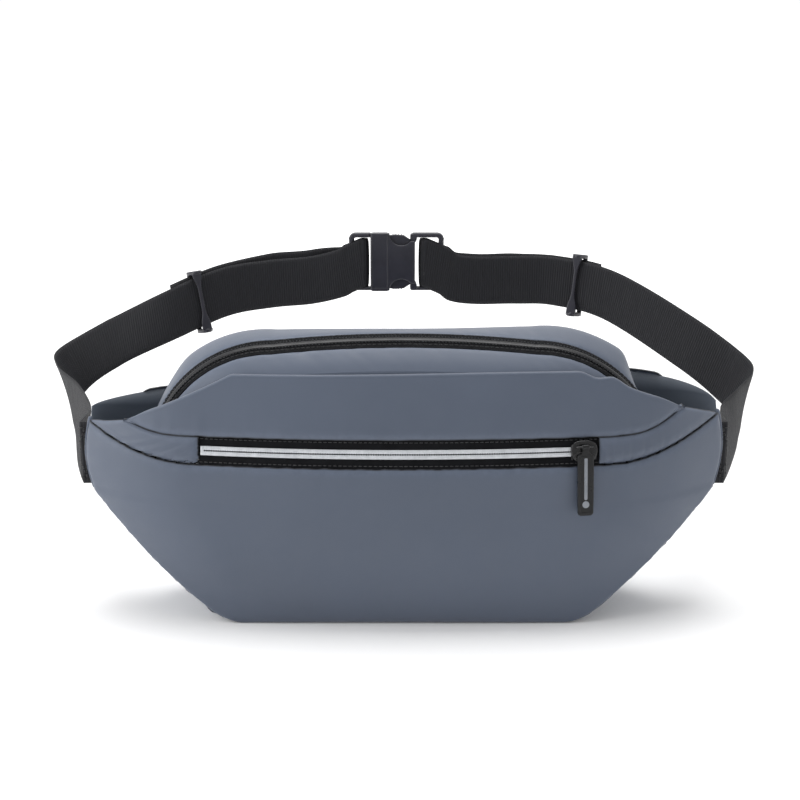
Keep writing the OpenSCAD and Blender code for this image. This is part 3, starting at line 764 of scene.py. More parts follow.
def top_front():
    def off_y(v, t):
        low = mix(-19, -28.6, np.sin(np.pi * t) ** 0.5)
        return mix(-12, 0, v), mix(low, -16, v) - 1.3 * np.sin(np.pi * v) * np.sin(np.pi * t) ** 0.5
    p = arch_grid(steps(14, 18), arch_s(190), off_y)
    p = np.concatenate([p[:1] + [0, -0.3, -8.0], p[:1] + [0, -0.2, -4.0], p])
    return shell("shell_top_front", p, "t", ["top_front_panel"], depth=1.0, width=1.4,
                 pucker=[("t", 0.12, 41)])


REAR_Y = np.array([-4, 7, 18, 28, 35.0])
TOP_OFF = np.array([5, 5.0, 3.6, 0, -7.7])
SIDE_OFF = np.array([[5, 9.4, 12.0, 10, -2], [5, 11, 15.2, 13.6, -1.0]])
FOOT_CUT = [0, 0.6, 1, 1, 0.8]        # how much of the feet's narrowing each row takes


def top_rear():
    node = np.linspace(0, 1, 5)
    fit = [np.polyfit(node, a, 4) for a in (REAR_Y, TOP_OFF, SIDE_OFF[0], SIDE_OFF[1])]

    def off_y(v, t):
        ry, top, left, right = (np.polyval(c, v) for c in fit)
        side = np.where(t < 0.5, left, right)
        k = np.cos(np.pi * t) ** 2
        foot = np.where(t < 0.5, 3.5, 11.0) * smooth((k - 0.86) / 0.14)
        foot = foot * np.interp(v, node, FOOT_CUT)
        return mix(top, side, k) - foot, mix(ry, 0.85 * ry, k ** 4)
    p = arch_grid(steps(34, 44), arch_s(190), off_y)
    hem = p[-1:] + np.array([0, -1.0, 0])
    p = np.concatenate([p, hem + [0, -0.6, -2.5], hem + [0, -1.0, -6.0], hem + [0, -1.4, -10.0]])
    p[..., 2] += 0.7 * lie(p[..., 0], p[..., 1] * 2, 9)
    return shell("shell_top_rear", p, "b", ["top_rear_panel"], depth=1.4, width=2.0,
                 pucker=[("b", 0.16, 45)])


def back():
    v, u = grid(steps(60, 150), steps(170, 372))
    s = 1 - 2 * u
    x1 = s * SEAM_X
    zt = mix(WING_H, back_top(x1), np.clip(6 * (1 - np.abs(s)), 0, 1))
    w = v ** 1.1 * WING_H
    z = v ** 1.1 * zt
    x = s * (wide(w, s) - foot_in(w))
    y = rounded_foot(back_y(x, z), z)
    p = np.stack([x, y + 0.5 * smooth((z - 130) / 24), z + 1.2 * smooth((z - 110) / 40)], -1)
    return shell("shell_back", p, "lrt", ["back_panel"], width=2.0, depth=1.2,
                 pucker=[("l", 0.25, 51), ("r", 0.25, 52), ("t", 0.18, 53)])


def gusset(side):
    v, u = grid(steps(34, 112), steps(18, 40))
    z = v * TAPER_H
    puff = 1.6 * np.sin(np.pi * u) * np.sin(np.pi * np.clip(v, 0.03, 1)) ** 0.5
    x = wide(z, side) - foot_in(z) - 0.6 + puff
    y = mix(-edge_y(z), edge_y(z), u) * (1 - 0.12 * np.clip(1 - z / 8, 0, 1) ** 2)
    p = np.stack([x * side, y, z], -1)
    name = SIDES[side]
    if side < 0:
        p = p[:, ::-1]
    return shell("shell_gusset_" + name, p, "lr", ["end_gusset_" + name], depth=1.2)


VALLEY_V = np.array([0, 0.15, 0.5, 0.85, 1])
VALLEY_X = np.array([119, 138, 146, 140, 122.0])


def valley(side):
    v, u = grid(np.linspace(1, 0, 44), np.linspace(0, 1, 50))
    x0 = np.interp(v, VALLEY_V, VALLEY_X)
    x = mix(x0, SEAM_X - 1.2, u)
    c = crease(x * side)
    front_z = np.minimum(c, WING_H + 30 * (1 - u)) - 1.6
    rear_z = wing_top(x * side) - 1.5
    fy = front_y(x * side, front_z, 0) + 2.4
    ry = back_y(x * side, rear_z) - 1.7
    dip = 50 * (1 - u ** 2) * np.clip(np.sin(np.pi * v), 0, 1) ** 0.55
    fold = 1.1 * np.sin(x * 0.55 + v * 9) * np.sin(np.pi * v) * (1 - u)
    p = np.stack([x * side, mix(fy, ry, v), mix(front_z, rear_z, v) - dip + fold], -1)
    # painted shade mask: darkest where the valley dips deepest near the compartment, stored in the seam
    # attribute
    painted_shade = np.clip(dip / 17, 0, 1) * np.clip(1.3 - 1.7 * u, 0, 1)
    if side < 0:
        p, painted_shade = p[:, ::-1], painted_shade[:, ::-1]
    name = SIDES[side]
    return shell("shell_valley_" + name, p, "", ["wing_valley_" + name], "valley", thick=0.8, seam=painted_shade)


def base():
    v, u = grid(steps(20, 60), steps(60, 190))
    x, y = (2 * u - 1) * (BASE_W / 2 - 4), (1 - 2 * v) * (BASE_D / 2 - 4.6)
    p = np.stack([x, y, np.full_like(x, 1.4)], -1)[:, ::-1]
    obj = sheet("shell_base", p, 1.3)
    return finish(obj, "shell", "bag", ["base_panel"])


def side_seam(side):
    """The bound seam allowance between the front and back panels, round the strap's root."""
    zz = np.linspace(TAPER_H - 1, WING_H - 0.5, 60)
    path = np.stack([(half_w(zz) - 0.9) * side, np.zeros(60), zz], -1)
    path = lifted(path)
    name = SIDES[side]
    bead = tube("piping_" + name, path, 1.5, 14)
    return finish(bead, "shell", "bag", ["side_seam_" + name])


front_lower()
front_upper()
top_front()
top_rear()
back()
base()
for side in (-1, 1):
    band(side)
    gusset(side)
    valley(side)
    side_seam(side)


# ---- front pocket zip -----------------------------------------------------------------
ZIP_Z = WINDOW_LOW + WINDOW_H / 2
ZIP_Y = -float(front_mid(ZIP_Z)) + 2
ZIP_AXIS = ZIP_Y + ZIP_R
ZIP_SLOPE = float(front_mid(ZIP_Z + 5) - front_mid(ZIP_Z - 5)) / 10
TEETH_HALF = 2.6
TOOTH = 1.35          # pitch of the front teeth


def zip_point(x, h, out):
    """A point at length x along the front zip, height h from its middle, out from the tape."""
    a = x / ZIP_R
    r = ZIP_R + ZIP_SLOPE * h + out
    return np.stack(np.broadcast_arrays(r * np.sin(a), ZIP_AXIS - r * np.cos(a), ZIP_Z + h), -1)


def zip_strip(name, x0, x1, h0, h1, out, thick, mat, nodes, step=1.0, ridge=0.0, crown=0.0):
    cols = np.linspace(x0, x1, int((x1 - x0) / step) + 1)
    rows = np.linspace(0, 1, 9)
    h, x = grid(mix(h0, h1, rows), cols)
    k = (h - h0) / (h1 - h0)
    lift = out + crown * np.sin(np.pi * np.clip(k, 0.02, 0.98)) ** 0.6 \
        + ridge * np.sin(x * 2 * np.pi / TOOTH)
    obj = sheet(name, zip_point(x, h, lift), thick)
    return finish(obj, mat, "bag", nodes)


left_x, right_x = WINDOW_MID - WINDOW_W / 2, WINDOW_MID + WINDOW_W / 2
zip_strip("zip_front_tape_lower", left_x - 3, right_x + 3, -WINDOW_H / 2 - 2, -TEETH_HALF, -0.1, 0.9,
          "tape", ["front_zip_tape_lower"], 2.0)
zip_strip("zip_front_tape_upper", left_x - 3, right_x + 3, TEETH_HALF, WINDOW_H / 2 + 2, -0.1, 0.9,
          "tape", ["front_zip_tape_upper"], 2.0)
for sign, name in ((-1, "lower"), (1, "upper")):
    h = sorted((sign * 0.22, sign * TEETH_HALF))
    zip_strip("zip_front_coil_" + name, left_x + 1, right_x - 1, h[0], h[1], 0.25, 0.7,
              "silver", ["front_zip_teeth_" + name], 0.3, 0.05, 0.5)
xs = np.arange(left_x + 2, right_x - 2, TOOTH)
teeth = lumps("zip_front_lock", zip_point(xs, 0.0, 0.35), (0, 0, 1), (0, -1, 0), (1.1, 0.7, 0.5), 6)
finish(teeth, "coil", "bag")
for sign in (-1, 1):
    line = zip_point(np.linspace(left_x, right_x, 120), sign * (WINDOW_H / 2 - 1.6), 0.0)
    finish(stitches("stitch_front_zip_%s" % ("low" if sign < 0 else "high"), line, (0, -1, 0), 2.8, 2.0, 0.4),
           "thread", "bag")
stops = lumps("zip_front_stops", zip_point(np.array([left_x + 2, right_x - 2.0]), 0.0, 0.3),
              (0, 0, 1), (0, -1, 0), (5.0, 2.2, 1.1), 10)
finish(stops, "silver", "bag", ["front_zip_stops"])


def at_zip(x):
    a = math.asin(x / ZIP_R)
    tilt = math.atan(ZIP_SLOPE)
    return Matrix.Translation((0, ZIP_AXIS, ZIP_Z)) @ Matrix.Rotation(a, 4, "Z") \
        @ Matrix.Translation((0, -ZIP_R, 0)) @ Matrix.Rotation(tilt, 4, "X")


PLATE_T, EYE_OUT, EYE_DOWN = 1.6, 2.2, 3.6    # a slider's top plate, and where its pull's eye sits


def slider(name, w, h, gap, m, body, node):
    """A zip slider: domed top plate, nose, flanges, a spine and the bridge for the pull."""
    shield = []
    for i in range(48):
        a = 2 * math.pi * i / 48
        k = abs(math.cos(a)) ** 0.7 * math.copysign(1, math.cos(a))
        q = abs(math.sin(a)) ** 0.7 * math.copysign(1, math.sin(a))
        shield.append((w / 2 * k * (1 - 0.12 * max(0, -q)), h / 2 * q))
    top = plate(name + "_top", [shield], PLATE_T, 0.7, 4, -gap - PLATE_T / 2)
    rail = [plate(name + "_rail%d" % s, [rounded(1.0, h * 0.7, 0.48, s * (w / 2 - 1.0), -0.5)],
                  gap, 0.2, 2, -gap / 2) for s in (-1, 1)]
    crown = -gap - PLATE_T
    pz = h / 2 - EYE_DOWN
    reach = w * 0.33
    arc = [(-reach, crown + 0.5, pz), (-reach * 0.96, crown - 1.3, pz), (-reach * 0.74, crown - 2.1, pz),
           (0, crown - 2.25, pz), (reach * 0.74, crown - 2.1, pz), (reach * 0.96, crown - 1.3, pz),
           (reach, crown + 0.5, pz)]
    pts = np.array(arc, float)
    t = np.linspace(0, len(pts) - 1, 25)
    fine = np.stack([np.interp(t, np.arange(len(pts)), pts[:, k]) for k in range(3)], -1)
    for _ in range(3):
        fine[1:-1] = (fine[:-2] + 2 * fine[1:-1] + fine[2:]) / 4
    bridge = tube(name + "_bridge", fine, 0.6, 12)
    spine = plate(name + "_spine", [rounded(w * 0.8, h * 0.3, h * 0.14, 0, -h * 0.18)], 0.9, 0.4, 3,
                  crown - 0.3)
    obj = place(join(name, [top] + rail + [spine, bridge]), m)
    shade(obj)
    return finish(obj, "slider", body, [node])


def pull(name, w, h, t, m, body, node):
    """A pull tab hanging from its eye at the origin, with a raised border."""
    outline = [(-1.5, 1.1), (1.5, 1.1), (1.75, 0.4), (1.75, -2.4), (2.4, -3.6), (w / 2 - 0.8, -4.3),
               (w / 2, -5.2), (w / 2 - 0.1, -h + 0.2 * w), (w / 2 - 0.5, -h - 3.2), (w / 2 - 1.6, -h - 4)]
    outline = outline + [(-x, z) for x, z in outline[::-1]]
    parts = [plate(name + "_core", [outline[1:-1]], t * 0.72, 0.35)]
    parts.append(tube(name + "_eye", np.array([[x, 0, 0] for x in (-1.2, -0.4, 0.4, 1.2)]), 1.35, 16))
    mid = -h / 2 - 4.1
    ring = [rounded(w - 0.5, h - 1.4, 1.3, 0, mid), rounded(w - 3.4, h - 4.6, 0.9, 0, mid)]
    parts.append(plate(name + "_rim", ring, t, 0.4, 3))
    obj = place(join(name, parts), m)
    shade(obj)
    return finish(obj, "pull", body, [node])


SLIDE_M = at_zip(SLIDER_X)
slider("slider_front", 15.4, 12.5, 1.1, SLIDE_M, "front_slider", "front_zip_slider")
PULL_TILT = math.radians(-7)
pivot = Matrix.Translation((0, -1.1 - PLATE_T - EYE_OUT, 12.5 / 2 - EYE_DOWN))
PULL_M = SLIDE_M @ pivot @ Matrix.Rotation(-math.atan(ZIP_SLOPE) + PULL_TILT, 4, "X")
pull("pull_front", 9.4, 35, 2.0, PULL_M, "front_pull", "front_zip_pull")
line = plate("pull_line", [rounded(1.9, 24, 0.9, 0, -18)], 0.7, 0.2, 2, -0.62)
dot = plate("pull_dot", [[(2.0 * math.cos(a), -32.6 + 2.0 * math.sin(a))
                          for a in np.linspace(0, 2 * math.pi, 28, endpoint=False)]], 0.8, 0.25, 3, -0.62)
finish(place(join("pull_front_inlay", [line, dot]), PULL_M), "inlay", "front_pull",
       ["front_pull_inlay"])

# ---- main zip -------------------------------------------------------------------------
TAPE_OFF = (0, 1.9, 3.3, 5)
TAPE_Y = (-16, -11.4, -8.2, -4)


def main_strip(name, i, lift, thick, mat, nodes, wave=0.0, grow=0.0):
    o0, o1 = TAPE_OFF[i] - 0.3 * grow, TAPE_OFF[i + 1] + 0.3 * grow
    y0, y1 = TAPE_Y[i] - grow, TAPE_Y[i + 1] + grow
    s = arch_s(700) if wave else arch_s(240)

    def off_y(v, t):
        bulge = wave * np.sin(s * 2 * np.pi / 1.5)
        if wave:
            bulge = bulge + 0.35 * math.sin(math.pi * min(max(v, 0.02), 0.98))
        return mix(o0, o1, v) + lift + bulge, mix(y0, y1, v) - 0.4 * lift
    p = lifted(arch_grid(np.linspace(0, 1, 9), s, off_y))
    return finish(sheet(name, p, thick), mat, "bag", nodes)


main_strip("zip_main_tape_front", 0, -0.55, 0.8, "tape", ["main_zip_tape_front"], 0, 0.8)
main_strip("zip_main_tape_rear", 2, -0.55, 0.8, "tape", ["main_zip_tape_rear"], 0, 0.8)
main_strip("zip_main_coil", 1, 0.1, 1.0, "coil", ["main_zip_coil"], 0.07, 0.0)
for row, (off, y) in enumerate(((1.55, -12.2), (3.65, -7.4), (0.55, -14.6), (4.55, -5.2))):
    s = np.linspace(-FOOT_L, ARCH_L + FOOT_L, 500)
    x, z = arch(s, off + 0.1)
    path = lifted(np.stack([x, np.full_like(x, y), z], -1))
    xo, zo = arch(s, off + 1.1)
    up = unit(np.stack([xo - x, np.full_like(x, -0.38), zo - z], -1))
    pitch, length, width = (1.9, 1.0, 0.42) if row < 2 else (2.9, 2.1, 0.32)
    finish(stitches("stitch_main_%d" % row, path, up, pitch, length, width),
           "coil_thread" if row < 2 else "thread", "bag")

PARK = math.radians(24)
MAIN_M = Matrix.Translation((ARCH_X, (TAPE_Y[1] + TAPE_Y[2]) / 2, ARCH_Z)) @ Matrix.Rotation(-PARK, 4, "Y") \
    @ Matrix.Translation((ARCH_R + (TAPE_OFF[1] + TAPE_OFF[2]) / 2, 0, 0)) \
    @ Matrix.Rotation(math.atan2(TAPE_Y[3] - TAPE_Y[0], TAPE_OFF[3]), 4, "Z")
slider("slider_main", 11, 10, 1.8, MAIN_M, "main_slider", "main_zip_slider")
pivot = Matrix.Translation((0, -1.8 - PLATE_T - EYE_OUT, 10 / 2 - EYE_DOWN))
pull("pull_main", 6, 12, 1.6, MAIN_M @ pivot, "main_pull", "main_zip_pull")

# ---- rear pocket zip ------------------------------------------------------------------
REAR_Z, REAR_W, REAR_X = 138, 200, 88
REAR_FACE = float(back_mid(REAR_Z))
REAR_SLOPE = float(back_mid(REAR_Z + 4) - back_mid(REAR_Z - 4)) / 8
BACK_M = Matrix.Translation((0, REAR_FACE, REAR_Z)) @ Matrix.Rotation(-math.atan(REAR_SLOPE), 4, "X") \
    @ Matrix.Diagonal((1, -1, 1, 1))
frame_loop = rounded(REAR_W + 6, 17, 4)
slot_loop = rounded(REAR_W - 4, 6.4, 3.1)
welt = plate("rear_welt", [frame_loop, slot_loop], 1.5, 0.6, 3, -0.9)
finish(place(welt, BACK_M), "shell", "bag")
tape = plate("zip_rear_tape", [rounded(REAR_W - 2, 12, 2)], 0.9, 0.2, 2, -0.2)
finish(place(tape, BACK_M), "tape", "bag", ["rear_zip_tape"])
xs = np.arange(-REAR_W / 2 + 4, REAR_W / 2 - 4, 1.3)
flat = np.ones_like(xs)
coil = [lumps("zip_rear_coil%d" % s, np.stack([xs + 0.3 * s, -0.95 * flat, 0.85 * s * flat], -1),
              (0, 0, 1), (0, -1, 0), (2.0, 0.8, 0.8), 8) for s in (-1, 1)]
finish(place(join("zip_rear_coil", coil), BACK_M), "coil", "bag", ["rear_zip_coil"])
for k, (w, h, r) in enumerate(((REAR_W + 1.5, 12.4, 3), (REAR_W - 0.5, 9.6, 3.0))):
    loop = rounded(w, h, r, n=10)
    loop = np.array([(x, -1.7, z) for x, z in loop + loop[:1]])
    dense = np.concatenate([np.linspace(a, b, 60)[:-1] for a, b in zip(loop[:-1], loop[1:])])
    finish(place(stitches("stitch_rear_%d" % k, dense, (0, -1, 0), 3.0, 2.1, 0.5), BACK_M),
           "thread_slate", "bag")
turn = Matrix.Rotation(math.radians(-90), 4, "Y")
slider("slider_rear", 9, 10, 0.5, BACK_M @ Matrix.Translation((REAR_X, -1.3, 0)) @ turn, "rear_slider",
       "rear_zip_slider")
pull("pull_rear", 6, 18, 1.6,
     BACK_M @ Matrix.Translation((REAR_X - 1.4, -1.3 - 0.5 - PLATE_T - EYE_OUT, 0)) @ turn.inverted(),
     "rear_pull", "rear_zip_pull")

# ---- belt -----------------------------------------------------------------------------
ROOT_Z = (TAPER_H + WING_H) / 2 - 1
ROOT_X = SEAM_X + 4.5 + 1.2
WRAP_R, REAR_GAP, GLIDE_LEG, WEB_FOLLOW, SMOOTH = 4.3, 5, 6, 0.35, 4
LOOP_SLACK, WEB_DROP = (9.0, 13.0), (9.5, 12.5)
BAR_AT = (35.6 - BUCKLE_X, 35.6 + BUCKLE_X)
ROUTE = [
    [[ROOT_X, 0, ROOT_Z, 0], [204, 50, 91, -16], [224, 105, 93, -6], [246, 155, 96, 14],
     [251, 190, 103, 28], [224, 209, 120, 26], [180, 217, 140.5, 12], [140, 234, 156, 6],
     [105, 244, 161, 3], [74, 246.5, 163.5, 1]],
    [[ROOT_X, 0, ROOT_Z, 0], [206, 48, 92, -14], [224, 84, 96, -2], [238, 116, 101, 12],
     [234, 142, 109, 22], [209, 170, 128, 20], [161, 220, 155, 10], [121, 240, 163.5, 3],
     [90, 245.5, 164, 2], [60, 246, 163.5, 1]],
]


def catmull(points, m):
    p = np.asarray(points, float)
    n = len(p)
    out = []
    for i in range(n - 1):
        a, b, c, d = p[max(0, i - 1)], p[i], p[i + 1], p[min(n - 1, i + 2)]
        for k in range(m):
            t = k / m
            bend = (2 * a - 5 * b + 4 * c - d) + t * (3 * (b - c) + d - a)
            out.append(b + 0.5 * t * ((c - a) + t * bend))
    out.append(p[-1])
    return np.array(out)


def loop_end(s, y):
    return [[BAR_AT[s] + 11, y, BUCKLE_Z - WEB_DROP[s], 0],
            [BAR_AT[s] + 2, y, BUCKLE_Z - 0.55 * WEB_DROP[s], 0]]


def front_run(s):
    y = REACH - WRAP_R
    return ROUTE[s] + loop_end(s, y) + [[BAR_AT[s] - LOOP_SLACK[s], y, BUCKLE_Z - 0.4, 0]]


def rear_run(s):
    out = loop_end(s, REACH + WRAP_R)[::-1]
    for i in range(len(ROUTE[s]) - 1, GLIDE_LEG - 2, -1):
        p, q, n = ROUTE[s][i], ROUTE[s][i - 1], ROUTE[s][min(i + 1, len(ROUTE[s]) - 1)]
        o = unit([q[1] - n[1], n[0] - q[0]]) * (REAR_GAP + (1.5 if i == 8 else 0))
        out.append([p[0] - o[0], p[1] - o[1], p[2], -p[3]])
    return out


def upright(t, lean):
    w = unit(np.array([0, 0, 1.0]) - WEB_FOLLOW * t[:, 2:3] * t)
    a = np.radians(lean)[:, None]
    return np.cos(a) * w + np.sin(a) * unit(np.cross(t, w))


def resample(p, step):
    s = np.concatenate([[0], np.cumsum(np.linalg.norm(np.diff(p[:, :3], axis=0), axis=1))])
    n = int(s[-1] / step) + 1
    at = np.linspace(0, s[-1], n)
    return np.stack([np.interp(at, s, p[:, k]) for k in range(4)], -1), at


RIB = 1.8             # pitch of the ribs that are modelled
ACROSS = 13


def strap(name, path, side, width=WEB_W, thick=WEB_T, ribbed=True, cup=0.5):
    """Webbing along [x, y, z, lean] points, with cross ribs, rounded edges and a slight cupping."""
    p, at = resample(np.asarray(path, float), RIB / 4.5)
    c = p[:, :3]
    t = unit(np.gradient(c, axis=0))
    lean = p[:, 3]
    up = upright(t, lean)
    out = unit(np.cross(up, t))
    w = np.linspace(1, -1, ACROSS)
    w = np.sign(w) * np.abs(w) ** 0.8
    edge = np.sqrt(np.clip(1 - np.abs(w) ** 14, 0, 1))
    edge = np.maximum(edge, 0.28)
    rib = (0.085 * np.abs(np.sin(np.pi * at / RIB)) if ribbed else 0 * at)[:, None]
    rib = rib * (np.abs(w) < 0.97)
    half = thick / 2 - 0.06
    bow = cup * (w ** 2 - 0.33)[None, :] * np.sin(np.clip(at / 30, 0, 1) * np.pi / 2)[:, None]
    middle = c[:, None] + (width / 2 * w)[None, :, None] * up[:, None]
    front = middle + (half * edge + rib - bow)[..., None] * out[:, None]
    rear = middle - (half * edge + rib + bow)[..., None] * out[:, None]
    ring = np.concatenate([front, rear[:, ::-1]], 1)
    n, k = ring.shape[:2]
    ids = np.arange(n * k).reshape(n, k)
    quads = np.concatenate([skin(ids), end_caps(ids)])
    if side == 0:
        ring[..., 0] *= -1
    else:
        quads = quads[:, ::-1]
    ww = np.concatenate([w, w[::-1]]) * width / 2
    st = np.stack(np.broadcast_arrays(at[:, None], ww[None, :], 0 * at[:, None]), -1).reshape(-1, 3)
    obj = quads_object(name, ring.reshape(-1, 3), quads, st)
    return obj, (p, at, t, up, out)


def run_of(s):
    """The whole webbing of side s: out from the seam, round the buckle's bar and back to its hem."""
    f = catmull(front_run(s), 24)
    r = catmull(rear_run(s), 24)
    r = r[:len(r) - 24 - (2, 6)[s]]
    k = np.linspace(0, 1, len(r))
    r[:, 2] += (4.6, 1.6)[s] * smooth((k - 0.08) / 0.3) * (1 - 0.55 * smooth((k - 0.55) / 0.25))
    wrap = np.array([[BAR_AT[s] - LOOP_SLACK[s] + WRAP_R * math.cos(a), REACH + WRAP_R * math.sin(a),
                      BUCKLE_Z - 0.4, 0] for a in np.radians(np.linspace(262, 98, 25))])
    stub = [[SEAM_X - 3.0, 0, ROOT_Z, 0], [SEAM_X + 2.0, 0, ROOT_Z, 0]]
    return np.concatenate([stub, f, wrap, r]), len(f) + 2


def hem(name, info, side):
    """The second layer of the tail's folded hem."""
    p, at, _, _, out = info
    pick = at > at[-1] - 8.5
    q = p[pick].copy()
    q[:, :3] -= 1.5 * out[pick]
    return strap(name, q, side, WEB_W - 0.4, 1.3, True, 0.0)[0]


def rows_on(name, info, side, lo, hi, half, face):
    """Stitches on the strap between lengths lo and hi: a box with a cross inside."""
    p, at, _, up, out = info
    lines = []
    loop = [(lo, half), (hi, half), (hi, -half), (lo, -half), (lo, half), (hi, -half), (lo, -half),
            (hi, half)]
    for (a0, w0), (a1, w1) in zip(loop[:-1], loop[1:]):
        k = np.linspace(0, 1, 24)
        aa, wv = mix(a0, a1, k), mix(w0, w1, k)
        i = np.clip(np.searchsorted(at, aa), 0, len(at) - 1)
        pts = p[i, :3] + wv[:, None] * up[i] + face * (WEB_T / 2 + 0.12) * out[i]
        nm = face * out[i]
        if side == 0:
            pts, nm = pts * [-1, 1, 1], nm * [-1, 1, 1]
        lines.append(stitches(name + "_%d" % len(lines), pts, nm, 2.6, 1.9, 0.5))
    return join(name, lines)


SPLIT = {0: 160.0}
for s, name in ((0, "left"), (1, "right")):
    whole, n_front = run_of(s)
    nodes = ["strap_anchor_" + name, "strap_" + name]
    if s == 0:
        cut = int(np.argmax((whole[:, 0] < SPLIT[0]) & (whole[:, 1] > 100)))
        first, second = whole[:cut + 2], whole[cut:]
    else:
        first, second = whole, None
    obj, info = strap("webbing_" + name, first, s)
    finish(obj, "web", None)
    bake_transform(obj)
    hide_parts(*(nodes + ([] if s == 0 else ["strap_loop_right", "strap_tail_right"])))
    if s == 0:
        obj, info2 = strap("webbing_left_loop", second, s)
        finish(obj, "web", None)
        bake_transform(obj)
        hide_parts("strap_loop_left", "strap_tail_left")
    tail_info = info2 if s == 0 else info
    h = hem("webbing_%s_hem" % name, tail_info, s)
    finish(h, "web", "belt")
    end = tail_info[1][-1]
    for face in (-1, 1):
        st = rows_on("stitch_hem_%s_%d" % (name, (face + 1) // 2), tail_info, s, end - 11, end - 3,
                     15.5, face)
        finish(st, "thread", "belt")
    for title, face in (("stitch_root_", -1), ("stitch_root_in_", 1)):
        box = rows_on(title + name, info, s, 6.4, 15, 15.5, face)
        finish(box, "thread", None)
        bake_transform(box)

# ---- tri-glides -----------------------------------------------------------------------
GLIDE_H, GLIDE_IN = 48.6, WEB_W / 2 + 2.2
GLIDE_BARS = ((-3.7, -1.7), (1.7, 3.1), (7.1, 9))
GLIDE_SHIFT = (2.3, 5.0)      # how far the sliders were drawn towards the buckle


def on_strap(s):
    f = catmull(ROUTE[s], SMOOTH)
    i = SMOOTH * GLIDE_LEG + SMOOTH // 2
    c = f[i]
    d = f[i + 1] - f[i - 1]
    t = unit(d[:3])
    up = upright(t[None], np.array([c[3]]))[0]
    back_ = unit(np.cross(t, up))
    along = np.cross(back_, up)
    m = Matrix([[along[k], back_[k], up[k], c[k]] for k in range(3)] + [[0, 0, 0, 1]])
    return m if s else Matrix.Diagonal((-1, 1, 1, 1)) @ m


def waisted(w_end, w_mid, h, skew=0.0):
    """Outline of a bar that is slim in its middle and flares into its ends."""
    zs = np.linspace(-h / 2, h / 2, 48)
    k = np.abs(zs - skew) / (h / 2)
    half = (w_mid + (w_end - w_mid) * smooth((k - 0.3) / 0.6) ** 1.3) / 2
    return [(x, z) for x, z in zip(half, zs)] + [(-x, z) for x, z in zip(half[::-1], zs[::-1])]


def end_rail():
    """Top view of a slider's end rail: slim in front and wider behind."""
    y0, y1 = GLIDE_BARS[0][0], GLIDE_BARS[2][1]
    front = arc_points(0, y0 + 3.4, 3.9, 200, 340, 12)
    return front + [(4.6, 0.6), (5.6, 3.4)] + arc_points(4.0, y1 - 2.2, 2.2, 0, 90, 6) \
        + arc_points(-4.0, y1 - 2.2, 2.2, 90, 180, 6) + [(-5.6, 3.4), (-4.6, 0.6)]


def arc_points(cx, cz, r, a0, a1, n=18):
    return [(cx + r * math.cos(math.radians(a)), cz + r * math.sin(math.radians(a)))
            for a in np.linspace(a0, a1, n)]


def triglide(s, name):
    parts = []
    for k in (-1, 1):
        zc = k * (GLIDE_IN + GLIDE_H / 2) / 2
        rail = plate("rail%d" % k, [end_rail()], GLIDE_H / 2 - GLIDE_IN, 1.1, 4)
        rail.data.transform(Matrix(((1, 0, 0, 0), (0, 0, 1, 0), (0, 1, 0, zc * MM), (0, 0, 0, 1))))
        rail.data.flip_normals()
        parts.append(rail)
    y0, y1 = GLIDE_BARS[0]
    parts.append(plate("bar_front", [waisted(7.4, 2.7, 2 * GLIDE_IN + 2.4, 2.0)], y1 - y0, 0.85, 4,
                       (y0 + y1) / 2))
    y0, y1 = GLIDE_BARS[1]
    parts.append(plate("bar_mid", [waisted(5.2, 4.0, 2 * GLIDE_IN + 2)], y1 - y0, 0.5, 3,
                       (y0 + y1) / 2))
    y0, y1 = GLIDE_BARS[2]
    for x in (-4, 4):
        bar = waisted(3.6, 3.0, 2 * GLIDE_IN + 2)
        parts.append(plate("bar_rear%d" % x, [[(q + x, z) for q, z in bar]], y1 - y0, 0.7, 3,
                           (y0 + y1) / 2))
    move = Matrix.Translation((-GLIDE_SHIFT[s], 0, 0))
    obj = place(join("glide_" + name, parts), on_strap(s) @ move)
    shade(obj)
    return finish(obj, "buckle", "triglide_" + name, ["triglide_" + name])


triglide(0, "left")
triglide(1, "right")

# ---- side-release buckle --------------------------------------------------------------
MOUTH_X, BODY_X, BAR_X = -20.4, 15.4, 35.6
RAIL_IN = WEB_W / 2 + 0.6
HB = BUCKLE_H / 2 - 0.9
AT_BUCKLE = Matrix.Translation((BUCKLE_X, REACH, BUCKLE_Z))


def body_outline():
    """The female half's plate: step band at the mouth, a scallop over each button, waist, end."""
    half = [(MOUTH_X, HB - 1.6), (MOUTH_X + 1.4, HB), (-6.2, HB), (-5.0, HB - 0.9)]
    half += arc_points(4.0, HB + 0.4, 9.6, 188, 318, 24)
    half += arc_points(BODY_X + 4.5, HB - 9.5, 5.6, 130, 178, 8)
    half += [(BODY_X - 0.6, HB - 14)]
    return half


def frame_c(sign):
    """Outline of a web frame, open towards the buckle's body; sign is +1 for the female's side."""
    x_in = BODY_X - 3 if sign > 0 else -MOUTH_X - 2.0
    out = BAR_X + 2.0
    s_in = out - 4.2
    pts = [(x_in, HB)] + arc_points(out - 5, HB - 5, 5, 90, 0, 10) \
        + arc_points(out - 5, -HB + 5, 5, 0, -90, 10) + [(x_in, -HB), (x_in, -RAIL_IN)] \
        + arc_points(s_in - 2, -RAIL_IN + 2, 2, -90, 0, 6) \
        + arc_points(s_in - 2, RAIL_IN - 2, 2, 0, 90, 6) + [(x_in, RAIL_IN)]
    return pts if sign > 0 else [(-x, z) for x, z in pts[::-1]]


